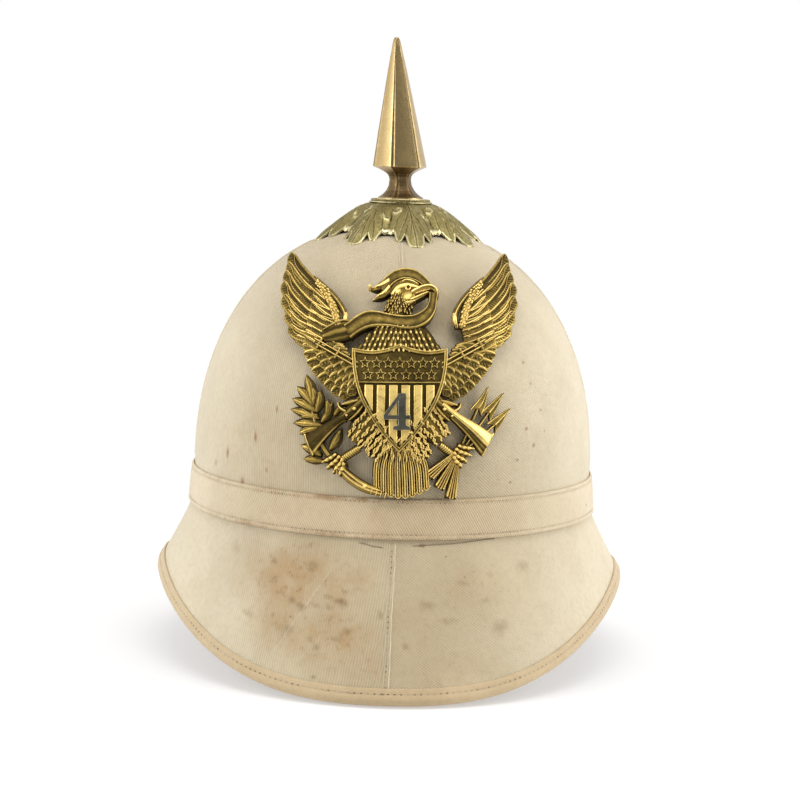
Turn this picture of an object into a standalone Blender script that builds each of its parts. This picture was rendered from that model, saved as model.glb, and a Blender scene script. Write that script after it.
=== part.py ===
"""A dress pith helmet: cork shell under drill cloth, with a hat band, a bound rim, a fluted brass
spike on a leaf base, and an eagle plate that carries a silver numeral.

Metres, +Z up, the wearer faces -Y. The origin is on the ground, under the middle of the rim.
"""

import math

import bmesh
import bpy
from mathutils import Vector

# Shell: the outside of the crown and the brim
CROWN_HALF_WIDTH = 0.0985
CROWN_HALF_LENGTH = 0.1195
CROWN_BASE_Z = 0.0888
CROWN_RISE = 0.1205
CROWN_SIDE_POWER = 2.2
CROWN_TOP_POWER = 2.25
CROWN_OVAL_POWER = 4.0
FOOT_Z = 0.0705
FOOT_FLARE = 0.0012
RIM_HALF_WIDTH = 0.1150
RIM_FRONT = 0.1560
RIM_BACK = 0.1600
RIM_Z = 0.0031
RIM_LIFT = 0.0380
RIM_LIFT_POWER = 2.5
BRIM_FLARE_POWER = 1.12
WALL = 0.0040
AROUND = 44
CROWN_STEPS = 9
BRIM_STEPS = 3

# Cloth trim: the band, the rim binding and the seams
GAP = 0.0003
BAND_WIDTH = 0.0186
BAND_THICKNESS = 0.0013
BINDING_WIDTH = 0.0080
BINDING_THICKNESS = 0.0009
SEAM_WIDTH = 0.0028
SEAM_THICKNESS = 0.0005

# Post that clamps the leaf base and the spike to the crown
POST_RADIUS = 0.0035
POST_CLEARANCE = 0.0003
CROWN_HOLE_CLEARANCE = 0.0010
POST_FLANGE_RADIUS = 0.0130
POST_FLANGE_THICKNESS = 0.0020
POST_GRIP = 0.0120
POST_AROUND = 24

# Leaf base
LEAF_COUNT = 8
LEAF_TURN = math.radians(12.0)
LEAF_RADIUS = 0.0420
LEAF_COLLAR_RADIUS = 0.0140
LEAF_COLLAR_RISE = 0.0127
LEAF_SHEET = 0.0010
LEAF_RELIEF = 0.0009
LEAF_REST = 0.0004
LEAF_DOME_POWER = 1.5

# Spike
SPIKE_FACES = 6
SPIKE_TURN = math.radians(-15.0)
SPIKE_HEIGHT = 0.0800
SPIKE_RADIUS = 0.0137
SPIKE_FLUTE = 0.10
SPIKE_LEAN = math.tan(math.radians(3.2))
SPIKE_STEPS_PER_FACE = 4

# Eagle plate: drawn on a flat grid, then bent to the crown
EAGLE_SPAN = 0.1100
GRID = EAGLE_SPAN / 110
EAGLE_Z = 0.1360
EAGLE_SHIFT = 0.0024
EAGLE_TURN = math.radians(1.3)
EAGLE_STAND_OFF = 0.0030
EAGLE_BEND_MARGIN = 0.0085
EAGLE_RELIEF = 0.0050
EAGLE_PANEL = 0.0165
EAGLE_BELOW = 0.0006
NUMERAL_THICKNESS = 0.0010
NUMERAL_GAP = 0.0005

# Wing on the +X side. Grid squares from the middle of the shield, as (across, up)
PRIMARY_TIPS = ((52.5, 62.0), (55.8, 50.0), (54.2, 38.0), (48.5, 25.5))
PRIMARY_ROOTS = ((31.0, 38.0), (32.0, 30.0), (31.0, 23.0))
COVERT_TIPS = ((42.0, 50.0), (42.2, 40.0), (44.5, 28.5))
COVERT_ROOTS = ((27.5, 36.0), (27.0, 31.0), (26.0, 27.0))
LOWER_TIPS = ((46.5, 22.5), (44.5, 15.0), (38.5, 8.0), (30.5, 0.5), (22.5, -2.0))
LOWER_ROOTS = ((25.0, 25.0), (20.0, 16.0), (18.5, 7.0))
PRIMARY_COUNT = 7
COVERT_COUNT = 6
LOWER_COUNT = 8

# Blades of the eagle: root and tip on the grid, then widths in squares and heights as shares of
# the relief: (name, root, middle, tip, root width, middle width, tip width, edge, ridge)
BLADES = (
    ("arm_right", (26.5, 28.5), (29.5, 40.0), (42.0, 51.5), 3.5, 6.0, 0.8, 0.50, 0.72),
    ("arm_left", (-26.5, 28.5), (-29.5, 40.0), (-42.0, 51.5), 3.5, 6.0, 0.8, 0.50, 0.72),
    ("shoulder_right", (20.5, 8.0), (23.0, 20.0), (27.0, 36.5), 5.0, 6.5, 4.0, 0.46, 0.66),
    ("shoulder_left", (-20.5, 8.0), (-23.0, 20.0), (-27.0, 36.5), 5.0, 6.5, 4.0, 0.46, 0.66),
    ("breast", (0.0, 14.0), (0.0, 24.0), (-1.5, 34.0), 40.0, 30.0, 17.0, 0.40, 0.64),
    ("neck", (-1.5, 31.0), (-1.0, 38.0), (2.0, 46.0), 16.0, 11.5, 9.0, 0.50, 0.80),
    ("skull", (-1.5, 43.5), (3.0, 46.5), (8.5, 47.0), 6.0, 9.0, 6.0, 0.56, 0.90),
    ("beak", (6.5, 46.5), (12.0, 47.2), (17.2, 44.8), 6.0, 4.2, 1.4, 0.50, 0.84),
    ("thigh_right", (10.0, -7.0), (17.0, -14.0), (22.5, -22.0), 12.0, 12.0, 5.0, 0.40, 0.80),
    ("thigh_left", (-10.0, -7.0), (-17.0, -14.0), (-22.5, -22.0), 12.0, 12.0, 5.0, 0.40, 0.80),
    ("claw_right", (20.0, -19.5), (26.0, -24.5), (33.0, -26.5), 4.0, 6.0, 3.0, 0.40, 0.76),
    ("claw_left", (-20.0, -20.5), (-27.0, -26.5), (-34.0, -30.0), 4.0, 6.0, 3.0, 0.40, 0.76),
    ("rifle_right", (-40.0, 29.0), (0.0, 5.0), (40.0, -20.0), 2.4, 2.8, 3.2, 0.44, 0.60),
    ("rifle_left", (40.0, 29.0), (0.0, 5.0), (-40.0, -20.0), 2.4, 2.8, 3.2, 0.44, 0.60),
    ("butt_right", (20.0, -5.0), (32.0, -13.5), (41.5, -22.0), 3.0, 6.0, 9.2, 0.60, 0.84),
    ("butt_left", (-21.0, -7.0), (-33.0, -14.5), (-42.7, -22.0), 3.0, 6.0, 9.2, 0.60, 0.84),
    ("branch", (-8.0, -41.0), (-27.0, -32.0), (-42.5, 0.0), 3.0, 3.0, 1.6, 0.30, 0.46),
    ("arrow_high", (26.0, -26.0), (34.0, -11.0), (40.0, 1.0), 1.4, 1.4, 1.4, 0.24, 0.36),
    ("arrow_middle", (26.5, -26.0), (37.0, -12.0), (46.5, -1.5), 1.4, 1.4, 1.4, 0.24, 0.36),
    ("arrow_low", (27.0, -26.0), (40.0, -15.0), (50.0, -8.0), 1.4, 1.4, 1.4, 0.24, 0.36),
    ("head_high", (37.8, -4.0), (38.8, -2.0), (41.6, 4.0), 3.0, 4.4, 0.5, 0.24, 0.44),
    ("head_middle", (43.2, -5.5), (44.8, -3.7), (48.8, 1.2), 3.0, 4.4, 0.5, 0.24, 0.44),
    ("head_low", (46.3, -11.0), (48.2, -9.4), (52.2, -5.6), 3.0, 4.4, 0.5, 0.24, 0.44),
)

# Leaves on the branch: (root, tip) on the grid
OLIVE_LEAVES = (
    ((-40.8, -3.0), (-44.5, 8.5)),
    ((-40.0, -4.5), (-48.5, 3.0)),
    ((-38.6, -7.5), (-50.5, -2.5)),
    ((-37.4, -10.0), (-51.0, -7.5)),
    ((-35.8, -13.0), (-49.5, -14.0)),
    ((-38.8, -7.5), (-37.5, 2.0)),
    ((-36.6, -12.0), (-31.5, -3.0)),
    ((-31.8, -22.5), (-28.5, -14.5)),
)
OLIVE_LEAF_WIDTH = 3.8

# Arrow feathers below the right claw: (root, tip) on the grid
FLETCHINGS = (
    ((26.0, -25.5), (14.5, -34.5)),
    ((26.5, -26.0), (18.0, -39.5)),
    ((27.5, -26.0), (23.5, -44.0)),
)
FLETCHING_WIDTH = 4.4

TAIL_COUNT = 9
TAIL_ROOT_HALF = 7.5
TAIL_TIP_HALF = 13.0
TAIL_ROOT_UP = -19.0
TAIL_TIP_UP = -45.8
TAIL_CORNER_UP = -42.5
TAIL_FEATHER_WIDTH = 3.6

# Ribbon: its middle line on the grid, from the tails over the head to the beak, and down across
# the neck to the wing
RIBBON_HIGH = (
    (-14.0, 46.2), (-8.0, 48.0), (-3.0, 51.5), (2.5, 54.0), (8.0, 52.8), (12.0, 50.0), (16.0, 46.5),
)
RIBBON_LOW = (
    (15.4, 47.5), (14.8, 41.5), (12.6, 36.8), (8.0, 34.0), (1.0, 33.0), (-6.0, 33.4),
    (-12.5, 33.8), (-18.0, 31.6), (-22.5, 28.0), (-27.0, 26.5),
)
RIBBON_WIDTH = 5.0

# Shield: right half of its outline on the grid, from the point at the foot to the peak
SHIELD_SIDE = (
    (0.0, -23.2), (7.0, -15.8), (13.6, -7.0), (18.2, 1.5), (20.8, 11.0), (21.4, 20.8),
    (17.5, 19.6), (12.5, 19.2), (6.5, 20.4), (0.0, 23.2),
)
SHIELD_BORDER = 1.9
SHIELD_FIELD = 0.66
SHIELD_RIM = 0.90
SHIELD_STRIPES = 6
STRIPE_PITCH = 5.45
STRIPE_WIDTH = 3.9
STRIPE_TOP_UP = 4.6
STRIPE_HEIGHT = 0.80
CHIEF_BAR_UP = 5.9
CHIEF_BAR_WIDTH = 1.4
STAR_ROWS = ((7, 14.4, 5.5), (6, 9.0, 6.0))
STAR_RADIUS = 2.3
STAR_INNER = 0.42
STAR_HEIGHT = 0.80

# Numeral: outline and counter on the grid, from its own foot
NUMERAL_FOOT_UP = -15.4
NUMERAL_OUTLINE = (
    (-2.9, 0.0), (4.9, 0.0), (4.9, 1.6), (3.0, 2.2), (3.0, 4.7), (4.9, 4.7), (4.9, 6.7),
    (3.0, 6.7), (3.0, 16.4), (-0.2, 16.4), (-7.2, 6.7), (-7.2, 4.7), (-0.6, 4.7), (-0.6, 2.2),
    (-2.9, 1.6),
)
NUMERAL_COUNTER = ((-5.0, 6.7), (-0.6, 6.7), (-0.6, 12.9))


def material(name, colour, roughness, metallic=0.0):
    """A Principled material of one colour."""
    made = bpy.data.materials.new(name)
    made.use_nodes = True
    shader = made.node_tree.nodes["Principled BSDF"]
    shader.inputs["Base Color"].default_value = (*colour, 1.0)
    shader.inputs["Roughness"].default_value = roughness
    shader.inputs["Metallic"].default_value = metallic
    return made


def add_object(name, points, faces, collection, finish=None):
    """A mesh object from points and faces, at the origin."""
    mesh = bpy.data.meshes.new(name)
    mesh.from_pydata([tuple(p) for p in points], [], faces)
    mesh.update()
    made = bpy.data.objects.new(name, mesh)
    collection.objects.link(made)
    if finish:
        mesh.materials.append(finish)
    return made


def loft(name, sections, collection, finish, closed_section=True, closed_run=False, caps=False):
    """Quads between sections of equal length. Each section may close on itself, and so may the
    run of sections; caps fill the first and the last section."""
    count = len(sections[0])
    points = [p for section in sections for p in section]
    faces = []
    runs = len(sections) if closed_run else len(sections) - 1
    steps = count if closed_section else count - 1
    for i in range(runs):
        low, high = i * count, (i + 1) % len(sections) * count
        for j in range(steps):
            k = (j + 1) % count
            faces.append((low + j, low + k, high + k, high + j))
    if caps:
        faces.append(tuple(reversed(range(count))))
        faces.append(tuple(range(len(points) - count, len(points))))
    return add_object(name, points, faces, collection, finish)


def turn_outward(obj):
    """Turns every face of a closed body outward."""
    body = bmesh.new()
    body.from_mesh(obj.data)
    bmesh.ops.recalc_face_normals(body, faces=body.faces)
    body.to_mesh(obj.data)
    body.free()
    return obj


def shade(obj, angle=35.0):
    """Smooth shading with sharp edges kept."""
    obj.data.shade_smooth()
    obj.data.set_sharp_from_angle(angle=math.radians(angle))
    return obj


def solidify(obj, thickness, offset=-1.0):
    """Gives an open surface its thickness, to its back by default."""
    modifier = obj.modifiers.new("thickness", "SOLIDIFY")
    modifier.thickness = thickness
    modifier.offset = offset
    modifier.use_even_offset = True
    return obj


def along(points, share):
    """The point at a share of the way along a smooth curve through the points."""
    place = min(max(share, 0.0), 1.0) * (len(points) - 1)
    i = min(int(place), len(points) - 2)
    t = place - i
    a, b = Vector(points[i]), Vector(points[i + 1])
    before = Vector(points[i - 1]) if i > 0 else a * 2 - b
    after = Vector(points[i + 2]) if i + 2 < len(points) else b * 2 - a
    slope_a, slope_b = (b - before) / 2, (after - a) / 2
    return (
        a * (2 * t**3 - 3 * t**2 + 1)
        + slope_a * (t**3 - 2 * t**2 + t)
        + b * (3 * t**2 - 2 * t**3)
        + slope_b * (t**3 - t**2)
    )


# Shell surface

def crown_half_width(z):
    """Half the crown's width outside, at a height."""
    if z < CROWN_BASE_Z:
        return CROWN_HALF_WIDTH + FOOT_FLARE * (CROWN_BASE_Z - z) / (CROWN_BASE_Z - FOOT_Z)
    share = min((z - CROWN_BASE_Z) / CROWN_RISE, 1.0)
    return CROWN_HALF_WIDTH * (1 - share**CROWN_SIDE_POWER) ** (1 / CROWN_TOP_POWER)


def crown_height(half_width):
    """The height where the crown has this half width."""
    share = min(half_width / CROWN_HALF_WIDTH, 1.0)
    return CROWN_BASE_Z + CROWN_RISE * (1 - share**CROWN_TOP_POWER) ** (1 / CROWN_SIDE_POWER)


def crown_stretch(z):
    """Length over width of the crown at a height: an oval below, a circle at the top."""
    share = min(max((z - CROWN_BASE_Z) / CROWN_RISE, 0.0), 1.0)
    return 1 + (CROWN_HALF_LENGTH / CROWN_HALF_WIDTH - 1) * (1 - share**CROWN_OVAL_POWER)


def crown_point(angle, z):
    """A point on the crown's outside. Angle 0 is the front and 90 degrees the wearer's left, +X."""
    half_width = crown_half_width(z)
    return Vector((
        half_width * math.sin(angle),
        -half_width * crown_stretch(z) * math.cos(angle),
        z,
    ))


def rim_point(angle):
    """A point on the edge of the brim's outside."""
    length = RIM_FRONT if math.cos(angle) > 0 else RIM_BACK
    lift = RIM_LIFT * abs(math.sin(angle)) ** RIM_LIFT_POWER
    return Vector((
        RIM_HALF_WIDTH * math.sin(angle),
        -length * math.cos(angle),
        RIM_Z + lift,
    ))


def brim_point(angle, share):
    """A point on the brim's outside: share 0 is where it leaves the crown, 1 is the rim."""
    top, rim = crown_point(angle, FOOT_Z), rim_point(angle)
    out = share**BRIM_FLARE_POWER
    return Vector((
        top.x + (rim.x - top.x) * out,
        top.y + (rim.y - top.y) * out,
        top.z + (rim.z - top.z) * share,
    ))


def surface_point(angle, place):
    """The shell's outside as one surface: place 0 to 1 is the crown's foot to its top, and 0 to -1
    is the brim from the foot to the rim."""
    if place < 0:
        return brim_point(angle, -place)
    return crown_point(angle, FOOT_Z + (CROWN_BASE_Z + CROWN_RISE - FOOT_Z) * min(place, 0.999))


def surface_normal(angle, place):
    """The outward normal there, from small steps."""
    step = 1e-3
    high, low = min(place + step, 0.998), max(place - step, -1.0)
    if place <= 0:
        high = min(high, 0.0)
    if place > 0:
        low = max(low, 0.0)
    up = surface_point(angle, high) - surface_point(angle, low)
    side = surface_point(angle + step, place) - surface_point(angle - step, place)
    return side.cross(up).normalized()


def place_of_height(z):
    """The place on the crown at a height."""
    return (z - FOOT_Z) / (CROWN_BASE_Z + CROWN_RISE - FOOT_Z)


def above_shell(angle, place, height):
    """A point at a height above the shell's outside."""
    return surface_point(angle, place) + surface_normal(angle, place) * height


def angles(count=AROUND):
    return [2 * math.pi * i / count for i in range(count)]


def crown_top_z():
    """The height of the crown's outside at its apex."""
    return CROWN_BASE_Z + CROWN_RISE


def leaf_collar_z():
    """The height of the leaf base's collar, where the spike stands."""
    return crown_top_z() + LEAF_COLLAR_RISE


def crown_ring_heights():
    """The heights of the shell's rings from the top of the band to the hole at the top."""
    hole = POST_RADIUS + CROWN_HOLE_CLEARANCE
    turns = [math.pi / 2 * i / CROWN_STEPS for i in range(CROWN_STEPS + 1)]
    return [crown_height(hole + (CROWN_HALF_WIDTH - hole) * math.cos(turn)) for turn in turns]


def build_shell(collection, finish):
    """Crown and brim in one moulded piece, with a hole for the post at the top."""
    sections = []
    for i in range(BRIM_STEPS):
        share = 1 - i / BRIM_STEPS
        sections.append([brim_point(a, share) for a in angles()])
    for z in [FOOT_Z] + crown_ring_heights():
        sections.append([crown_point(a, z) for a in angles()])
    shell = loft("shell", sections, collection, finish)
    solidify(shell, WALL)
    return shade(shell)


def build_hat_band(collection, finish):
    """A flat band of cloth round the crown's foot, level with the bottom of the dome."""
    low = FOOT_Z + GAP
    section_places = [place_of_height(low), place_of_height(low + BAND_WIDTH)]
    out = GAP + BAND_THICKNESS
    sections = [
        [above_shell(a, section_places[0], GAP) for a in angles()],
        [above_shell(a, section_places[0], out) for a in angles()],
        [above_shell(a, section_places[1], out) for a in angles()],
        [above_shell(a, section_places[1], GAP) for a in angles()],
    ]
    return shade(loft("hat_band", sections, collection, finish, closed_run=True))


def binding_section(angle):
    """The cross-section of the rim's binding: a strip folded round the edge of the shell."""
    rim = rim_point(angle)
    inland = brim_point(angle, 0.8)
    normal = surface_normal(angle, -1.0)
    back = (inland - rim).normalized()
    reach, skin = GAP + BINDING_THICKNESS, BINDING_THICKNESS
    under = rim - normal * WALL
    return [
        rim + back * BINDING_WIDTH + normal * reach,
        rim + normal * reach,
        rim - back * reach * 0.8 + normal * reach * 0.3,
        under - back * reach * 0.8 - normal * reach * 0.3,
        under - normal * reach,
        under + back * BINDING_WIDTH - normal * reach,
        under + back * BINDING_WIDTH - normal * (reach - skin),
        under - back * GAP * 0.9 - normal * (reach - skin),
        rim - back * GAP * 0.9 + normal * (reach - skin),
        rim + back * BINDING_WIDTH + normal * (reach - skin),
    ]


def build_rim_binding(collection, finish):
    """The cloth strip folded round the whole rim."""
    sections = [binding_section(a) for a in angles()]
    return shade(loft("rim_binding", sections, collection, finish, closed_run=True), 50.0)


def seam_section(angle, place, tilt):
    """Four corners of a seam's strip across its run. Tilt is the half width as an angle."""
    out = GAP + SEAM_THICKNESS
    return [
        above_shell(angle - tilt, place, GAP),
        above_shell(angle + tilt, place, GAP),
        above_shell(angle + tilt * 0.85, place, out),
        above_shell(angle - tilt * 0.85, place, out),
    ]


def build_seam(name, angle, places, collection, finish):
    """A felled seam: a raised strip of doubled cloth on the shell, through a list of places."""
    sections = []
    for place in places:
        here = surface_point(angle, place)
        reach = (surface_point(angle + 0.01, place) - here).length / 0.01
        sections.append(seam_section(angle, place, SEAM_WIDTH / 2 / reach))
    return shade(turn_outward(loft(name, sections, collection, finish, caps=True)), 25.0)


def seam_top(angle):
    """The height where a crown seam stops, just short of the leaf base."""
    edge = 0.0
    for step in (-2, -1, 0, 1, 2):
        turn = step * SEAM_WIDTH / LEAF_RADIUS / 3
        edge = max(edge, LEAF_RADIUS * leaf_reach(angle + turn))
    edge += 3 * GAP
    return crown_z_under(edge * math.sin(angle), -edge * math.cos(angle))


def build_seams(collection, finish):
    """Four seams on the crown and one each on the visor and the neck guard."""
    bottom = FOOT_Z + BAND_WIDTH + 2 * GAP
    for name, degrees in (("front", 0), ("left", 90), ("back", 180), ("right", 270)):
        angle = math.radians(degrees)
        top = seam_top(angle)
        heights = [z for z in crown_ring_heights() if bottom + 0.002 < z < top - 0.001]
        places = [place_of_height(z) for z in [bottom] + heights + [top]]
        build_seam("crown_seam_" + name, angle, places, collection, finish)
    brim_length = (rim_point(0) - brim_point(0, 0)).length
    stop = 1 - (BINDING_WIDTH + GAP) / brim_length
    shares = [0.03] + [i / BRIM_STEPS for i in range(1, BRIM_STEPS)] + [stop]
    build_seam("visor_seam", 0.0, [-share for share in shares], collection, finish)
    build_seam("neck_seam", math.pi, [-share for share in shares], collection, finish)


# Leaf base, spike and post

def crown_z_under(x, y):
    """The height of the crown's outside over a point near its top."""
    low, high = CROWN_BASE_Z, crown_top_z()
    for _ in range(40):
        z = (low + high) / 2
        half_width = crown_half_width(z)
        inside = (x / half_width) ** 2 + (y / (half_width * crown_stretch(z))) ** 2 < 1
        low, high = (z, high) if inside else (low, z)
    return (low + high) / 2


# One row for each column of half a leaf: angle as a share of the half leaf, how far the edge
# reaches as a share of the leaf's radius, and the relief as a share of the full relief
LEAF_COLUMNS = (
    (0.00, 1.00, 1.00),
    (0.16, 0.98, 0.10),
    (0.46, 0.91, 0.70),
    (0.72, 0.80, 0.10),
    (1.00, 0.73, 0.40),
)
# One row for each ring: share of the way from the collar to the edge, and how much of the relief
# shows there
LEAF_RINGS = ((0.00, 0.0), (0.40, 1.0), (0.86, 1.0), (1.00, 0.0))


def leaf_reach(angle):
    """How far the leaf base reaches at an angle, as a share of its radius."""
    half = math.pi / LEAF_COUNT
    offset = (angle - LEAF_TURN + half) % (2 * half) - half
    share = abs(offset) / half
    for near, far in zip(LEAF_COLUMNS, LEAF_COLUMNS[1:]):
        if share <= far[0]:
            return near[1] + (far[1] - near[1]) * (share - near[0]) / (far[0] - near[0])
    return LEAF_COLUMNS[-1][1]


def leaf_columns():
    """(angle, reach, relief) of every column round the base."""
    half = math.pi / LEAF_COUNT
    columns = []
    for leaf in range(LEAF_COUNT):
        middle = LEAF_TURN + leaf * 2 * half
        for share, reach, relief in reversed(LEAF_COLUMNS[1:]):
            columns.append((middle - share * half, reach, relief))
        for share, reach, relief in LEAF_COLUMNS[:-1]:
            columns.append((middle + share * half, reach, relief))
    return columns


def leaf_point(angle, reach, relief, share, shown):
    """A point on the top of the leaf base."""
    edge = LEAF_RADIUS * reach
    radius = LEAF_COLLAR_RADIUS + (edge - LEAF_COLLAR_RADIUS) * share
    x, y = radius * math.sin(angle), -radius * math.cos(angle)
    rest_x, rest_y = edge * math.sin(angle), -edge * math.cos(angle)
    foot = crown_z_under(rest_x, rest_y) + LEAF_REST + LEAF_SHEET
    curve = share**LEAF_DOME_POWER
    z = leaf_collar_z() + (foot - leaf_collar_z()) * curve + LEAF_RELIEF * relief * shown
    return Vector((x, y, z))


def build_leaf_base(collection, finish):
    """A stamped sheet of leaves that hangs from a flat collar and rests on the crown."""
    columns = leaf_columns()
    hole = POST_RADIUS + POST_CLEARANCE
    sections = [[
        leaf_point(a, reach, relief, share, shown) for a, reach, relief in columns
    ] for share, shown in reversed(LEAF_RINGS)]
    sections.append([
        Vector((hole * math.sin(a), -hole * math.cos(a), leaf_collar_z())) for a, _, _ in columns
    ])
    base = loft("leaf_base", sections, collection, finish)
    solidify(base, LEAF_SHEET)
    return shade(base, 40.0)


# One row for each section up the spike: height as a share of its whole height, radius as a share
# of its radius, and how much of the flute shows
SPIKE_SECTIONS = (
    (0.000, 0.80, 0.0),
    (0.012, 0.80, 0.0),
    (0.035, 0.62, 0.3),
    (0.085, 0.43, 0.5),
    (0.120, 0.40, 0.5),
    (0.155, 0.48, 0.5),
    (0.190, 0.80, 0.6),
    (0.205, 1.00, 1.0),
    (0.600, 0.57, 1.0),
    (0.970, 0.145, 0.6),
    (1.000, 0.085, 0.0),
)


def spike_section(z_share, radius_share, flute):
    """A six-sided section with hollowed faces, shifted sideways by the spike's lean."""
    count = SPIKE_FACES * SPIKE_STEPS_PER_FACE
    rise = z_share * SPIKE_HEIGHT
    points = []
    for i in range(count):
        share = (i % SPIKE_STEPS_PER_FACE) / SPIKE_STEPS_PER_FACE
        face_half = math.pi / SPIKE_FACES
        flat = math.cos(face_half) / math.cos((share * 2 - 1) * face_half)
        hollow = 1 - SPIKE_FLUTE * flute * math.sin(math.pi * share)
        roundness = min(1.0, flute * 2)
        radius = SPIKE_RADIUS * radius_share * (1 + (flat * hollow - 1) * roundness)
        angle = SPIKE_TURN + 2 * math.pi * i / count
        points.append(Vector((
            radius * math.sin(angle) - rise * SPIKE_LEAN,
            -radius * math.cos(angle),
            leaf_collar_z() + GAP + rise,
        )))
    return points


def socket_section(depth):
    """A ring of the blind socket in the spike's foot."""
    count = SPIKE_FACES * SPIKE_STEPS_PER_FACE
    radius = POST_RADIUS + POST_CLEARANCE
    return [Vector((
        radius * math.sin(SPIKE_TURN + 2 * math.pi * i / count),
        -radius * math.cos(SPIKE_TURN + 2 * math.pi * i / count),
        leaf_collar_z() + GAP + depth,
    )) for i in range(count)]


def build_spike(collection, finish):
    """The fluted spike on its waisted foot, with a blind socket for the post."""
    sections = [socket_section(POST_GRIP), socket_section(0.0)]
    sections += [spike_section(*row) for row in SPIKE_SECTIONS]
    return shade(loft("spike", sections, collection, finish, caps=True), 24.0)


def build_post(collection, finish):
    """One plain post: a flange under the crown and a stem up through the base into the spike."""
    ring = max(z for z in crown_ring_heights() if crown_half_width(z) > POST_FLANGE_RADIUS)
    flange_top = ring - WALL - GAP
    top = leaf_collar_z() + POST_GRIP - GAP
    profile = (
        (0.0, top),
        (POST_RADIUS, top),
        (POST_RADIUS, flange_top),
        (POST_FLANGE_RADIUS, flange_top),
        (POST_FLANGE_RADIUS, flange_top - POST_FLANGE_THICKNESS),
        (0.0, flange_top - POST_FLANGE_THICKNESS),
    )
    mesh = bpy.data.meshes.new("spike_post")
    edges = [(i, i + 1) for i in range(len(profile) - 1)]
    mesh.from_pydata([(radius, 0.0, z) for radius, z in profile], edges, [])
    mesh.materials.append(finish)
    post = bpy.data.objects.new("spike_post", mesh)
    collection.objects.link(post)
    turn = post.modifiers.new("turn", "SCREW")
    turn.steps = turn.render_steps = POST_AROUND
    turn.use_merge_vertices = True
    turn.merge_threshold = 0.0001
    turn.use_smooth_shade = False
    return post


# Eagle plate

def plate_front(across, z):
    """How far in front of the origin the back of the plate lies."""
    rise = min(abs(z - CROWN_BASE_Z) / (CROWN_RISE + EAGLE_BEND_MARGIN), 0.98)
    side = min(abs(across) / (CROWN_HALF_WIDTH + EAGLE_STAND_OFF), 0.98)
    depth = CROWN_HALF_LENGTH + EAGLE_STAND_OFF
    return -depth * math.sqrt(1 - rise**2) * math.sqrt(1 - side**2)


def bend(point):
    """Takes a flat point (across, up, out) to the curved plate."""
    across, up, out = point
    c, s = math.cos(EAGLE_TURN), math.sin(EAGLE_TURN)
    x = EAGLE_SHIFT + across * c - up * s
    z = EAGLE_Z + across * s + up * c
    step = 1e-4
    slope_x = (plate_front(x + step, z) - plate_front(x - step, z)) / (2 * step)
    slope_z = (plate_front(x, z + step) - plate_front(x, z - step)) / (2 * step)
    normal = Vector((slope_x, -1.0, slope_z)).normalized()
    return Vector((x, plate_front(x, z), z)) + normal * out


def below(collection):
    """Each piece reaches a little further behind the back of the plate than the one before."""
    return -EAGLE_BELOW * (1 + 0.01 * len(collection.objects))


def blade(name, spine, widths, edge, ridge, collection):
    """A strip with a ridge down its middle. The spine is on the grid, a width in squares at each
    of its points, and the heights are shares of the relief."""
    sections = []
    foot = below(collection)
    for i, here in enumerate(spine):
        before, after = spine[max(i - 1, 0)], spine[min(i + 1, len(spine) - 1)]
        run = (Vector(after) - Vector(before)).normalized()
        side = Vector((run.y, -run.x)) * widths[i] / 2
        left, right = Vector(here) - side, Vector(here) + side
        sections.append([
            Vector((left.x * GRID, left.y * GRID, foot)),
            Vector((left.x * GRID, left.y * GRID, edge * EAGLE_RELIEF)),
            Vector((here[0] * GRID, here[1] * GRID, ridge * EAGLE_RELIEF)),
            Vector((right.x * GRID, right.y * GRID, edge * EAGLE_RELIEF)),
            Vector((right.x * GRID, right.y * GRID, foot)),
        ])
    return loft(name, sections, collection, None, caps=True)


def feather(name, root, tip, width, edge, ridge, bow, collection):
    """A feather with a round end. Bow pushes its middle sideways, in squares."""
    run = Vector(tip) - Vector(root)
    side = Vector((run.y, -run.x)).normalized() * bow
    spine = [
        Vector(root) + run * share + side * 4 * share * (1 - share)
        for share in (0.0, 0.78, 1.0)
    ]
    widths = [width * share for share in (0.6, 1.0, 0.45)]
    return blade(name, spine, widths, edge, ridge, collection)


def build_wing(side, collection):
    """The feathers of one wing; side is 1 for +X and -1 for -X."""
    rows = (
        ("primary", PRIMARY_TIPS, PRIMARY_ROOTS, PRIMARY_COUNT, 6.4, 0.20, 0.36, 1.6),
        ("covert", COVERT_TIPS, COVERT_ROOTS, COVERT_COUNT, 5.2, 0.36, 0.52, 1.0),
        ("lower", LOWER_TIPS, LOWER_ROOTS, LOWER_COUNT, 5.6, 0.22, 0.38, 0.8),
    )
    for kind, tips, roots, count, width, edge, ridge, bow in rows:
        for i in range(count):
            share = i / (count - 1)
            root, tip = along(roots, share), along(tips, share)
            feather(
                f"{kind}_{side}_{i}", (root.x * side, root.y), (tip.x * side, tip.y),
                width, edge, ridge, bow * side, collection,
            )


def prism(name, outline, high, collection):
    """A flat outline on the grid, raised to a height given as a share of the relief."""
    sections = [
        [Vector((p[0] * GRID, p[1] * GRID, height)) for p in outline]
        for height in (below(collection), high * EAGLE_RELIEF)
    ]
    return loft(name, sections, collection, None, caps=True)


def shield_outline(inset=0.0):
    """The shield's outline, anticlockwise from its foot, drawn in by an inset in squares."""
    right = list(SHIELD_SIDE)
    left = [(-u, v) for u, v in reversed(right[1:-1])]
    outline = [Vector(p) for p in right + left]
    if not inset:
        return outline
    drawn = []
    for i, here in enumerate(outline):
        before, after = outline[i - 1], outline[(i + 1) % len(outline)]
        first = Vector((here.y - before.y, before.x - here.x)).normalized()
        second = Vector((after.y - here.y, here.x - after.x)).normalized()
        middle = (first + second).normalized()
        drawn.append(here - middle * inset / max(middle.dot(first), 0.5))
    return drawn


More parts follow.
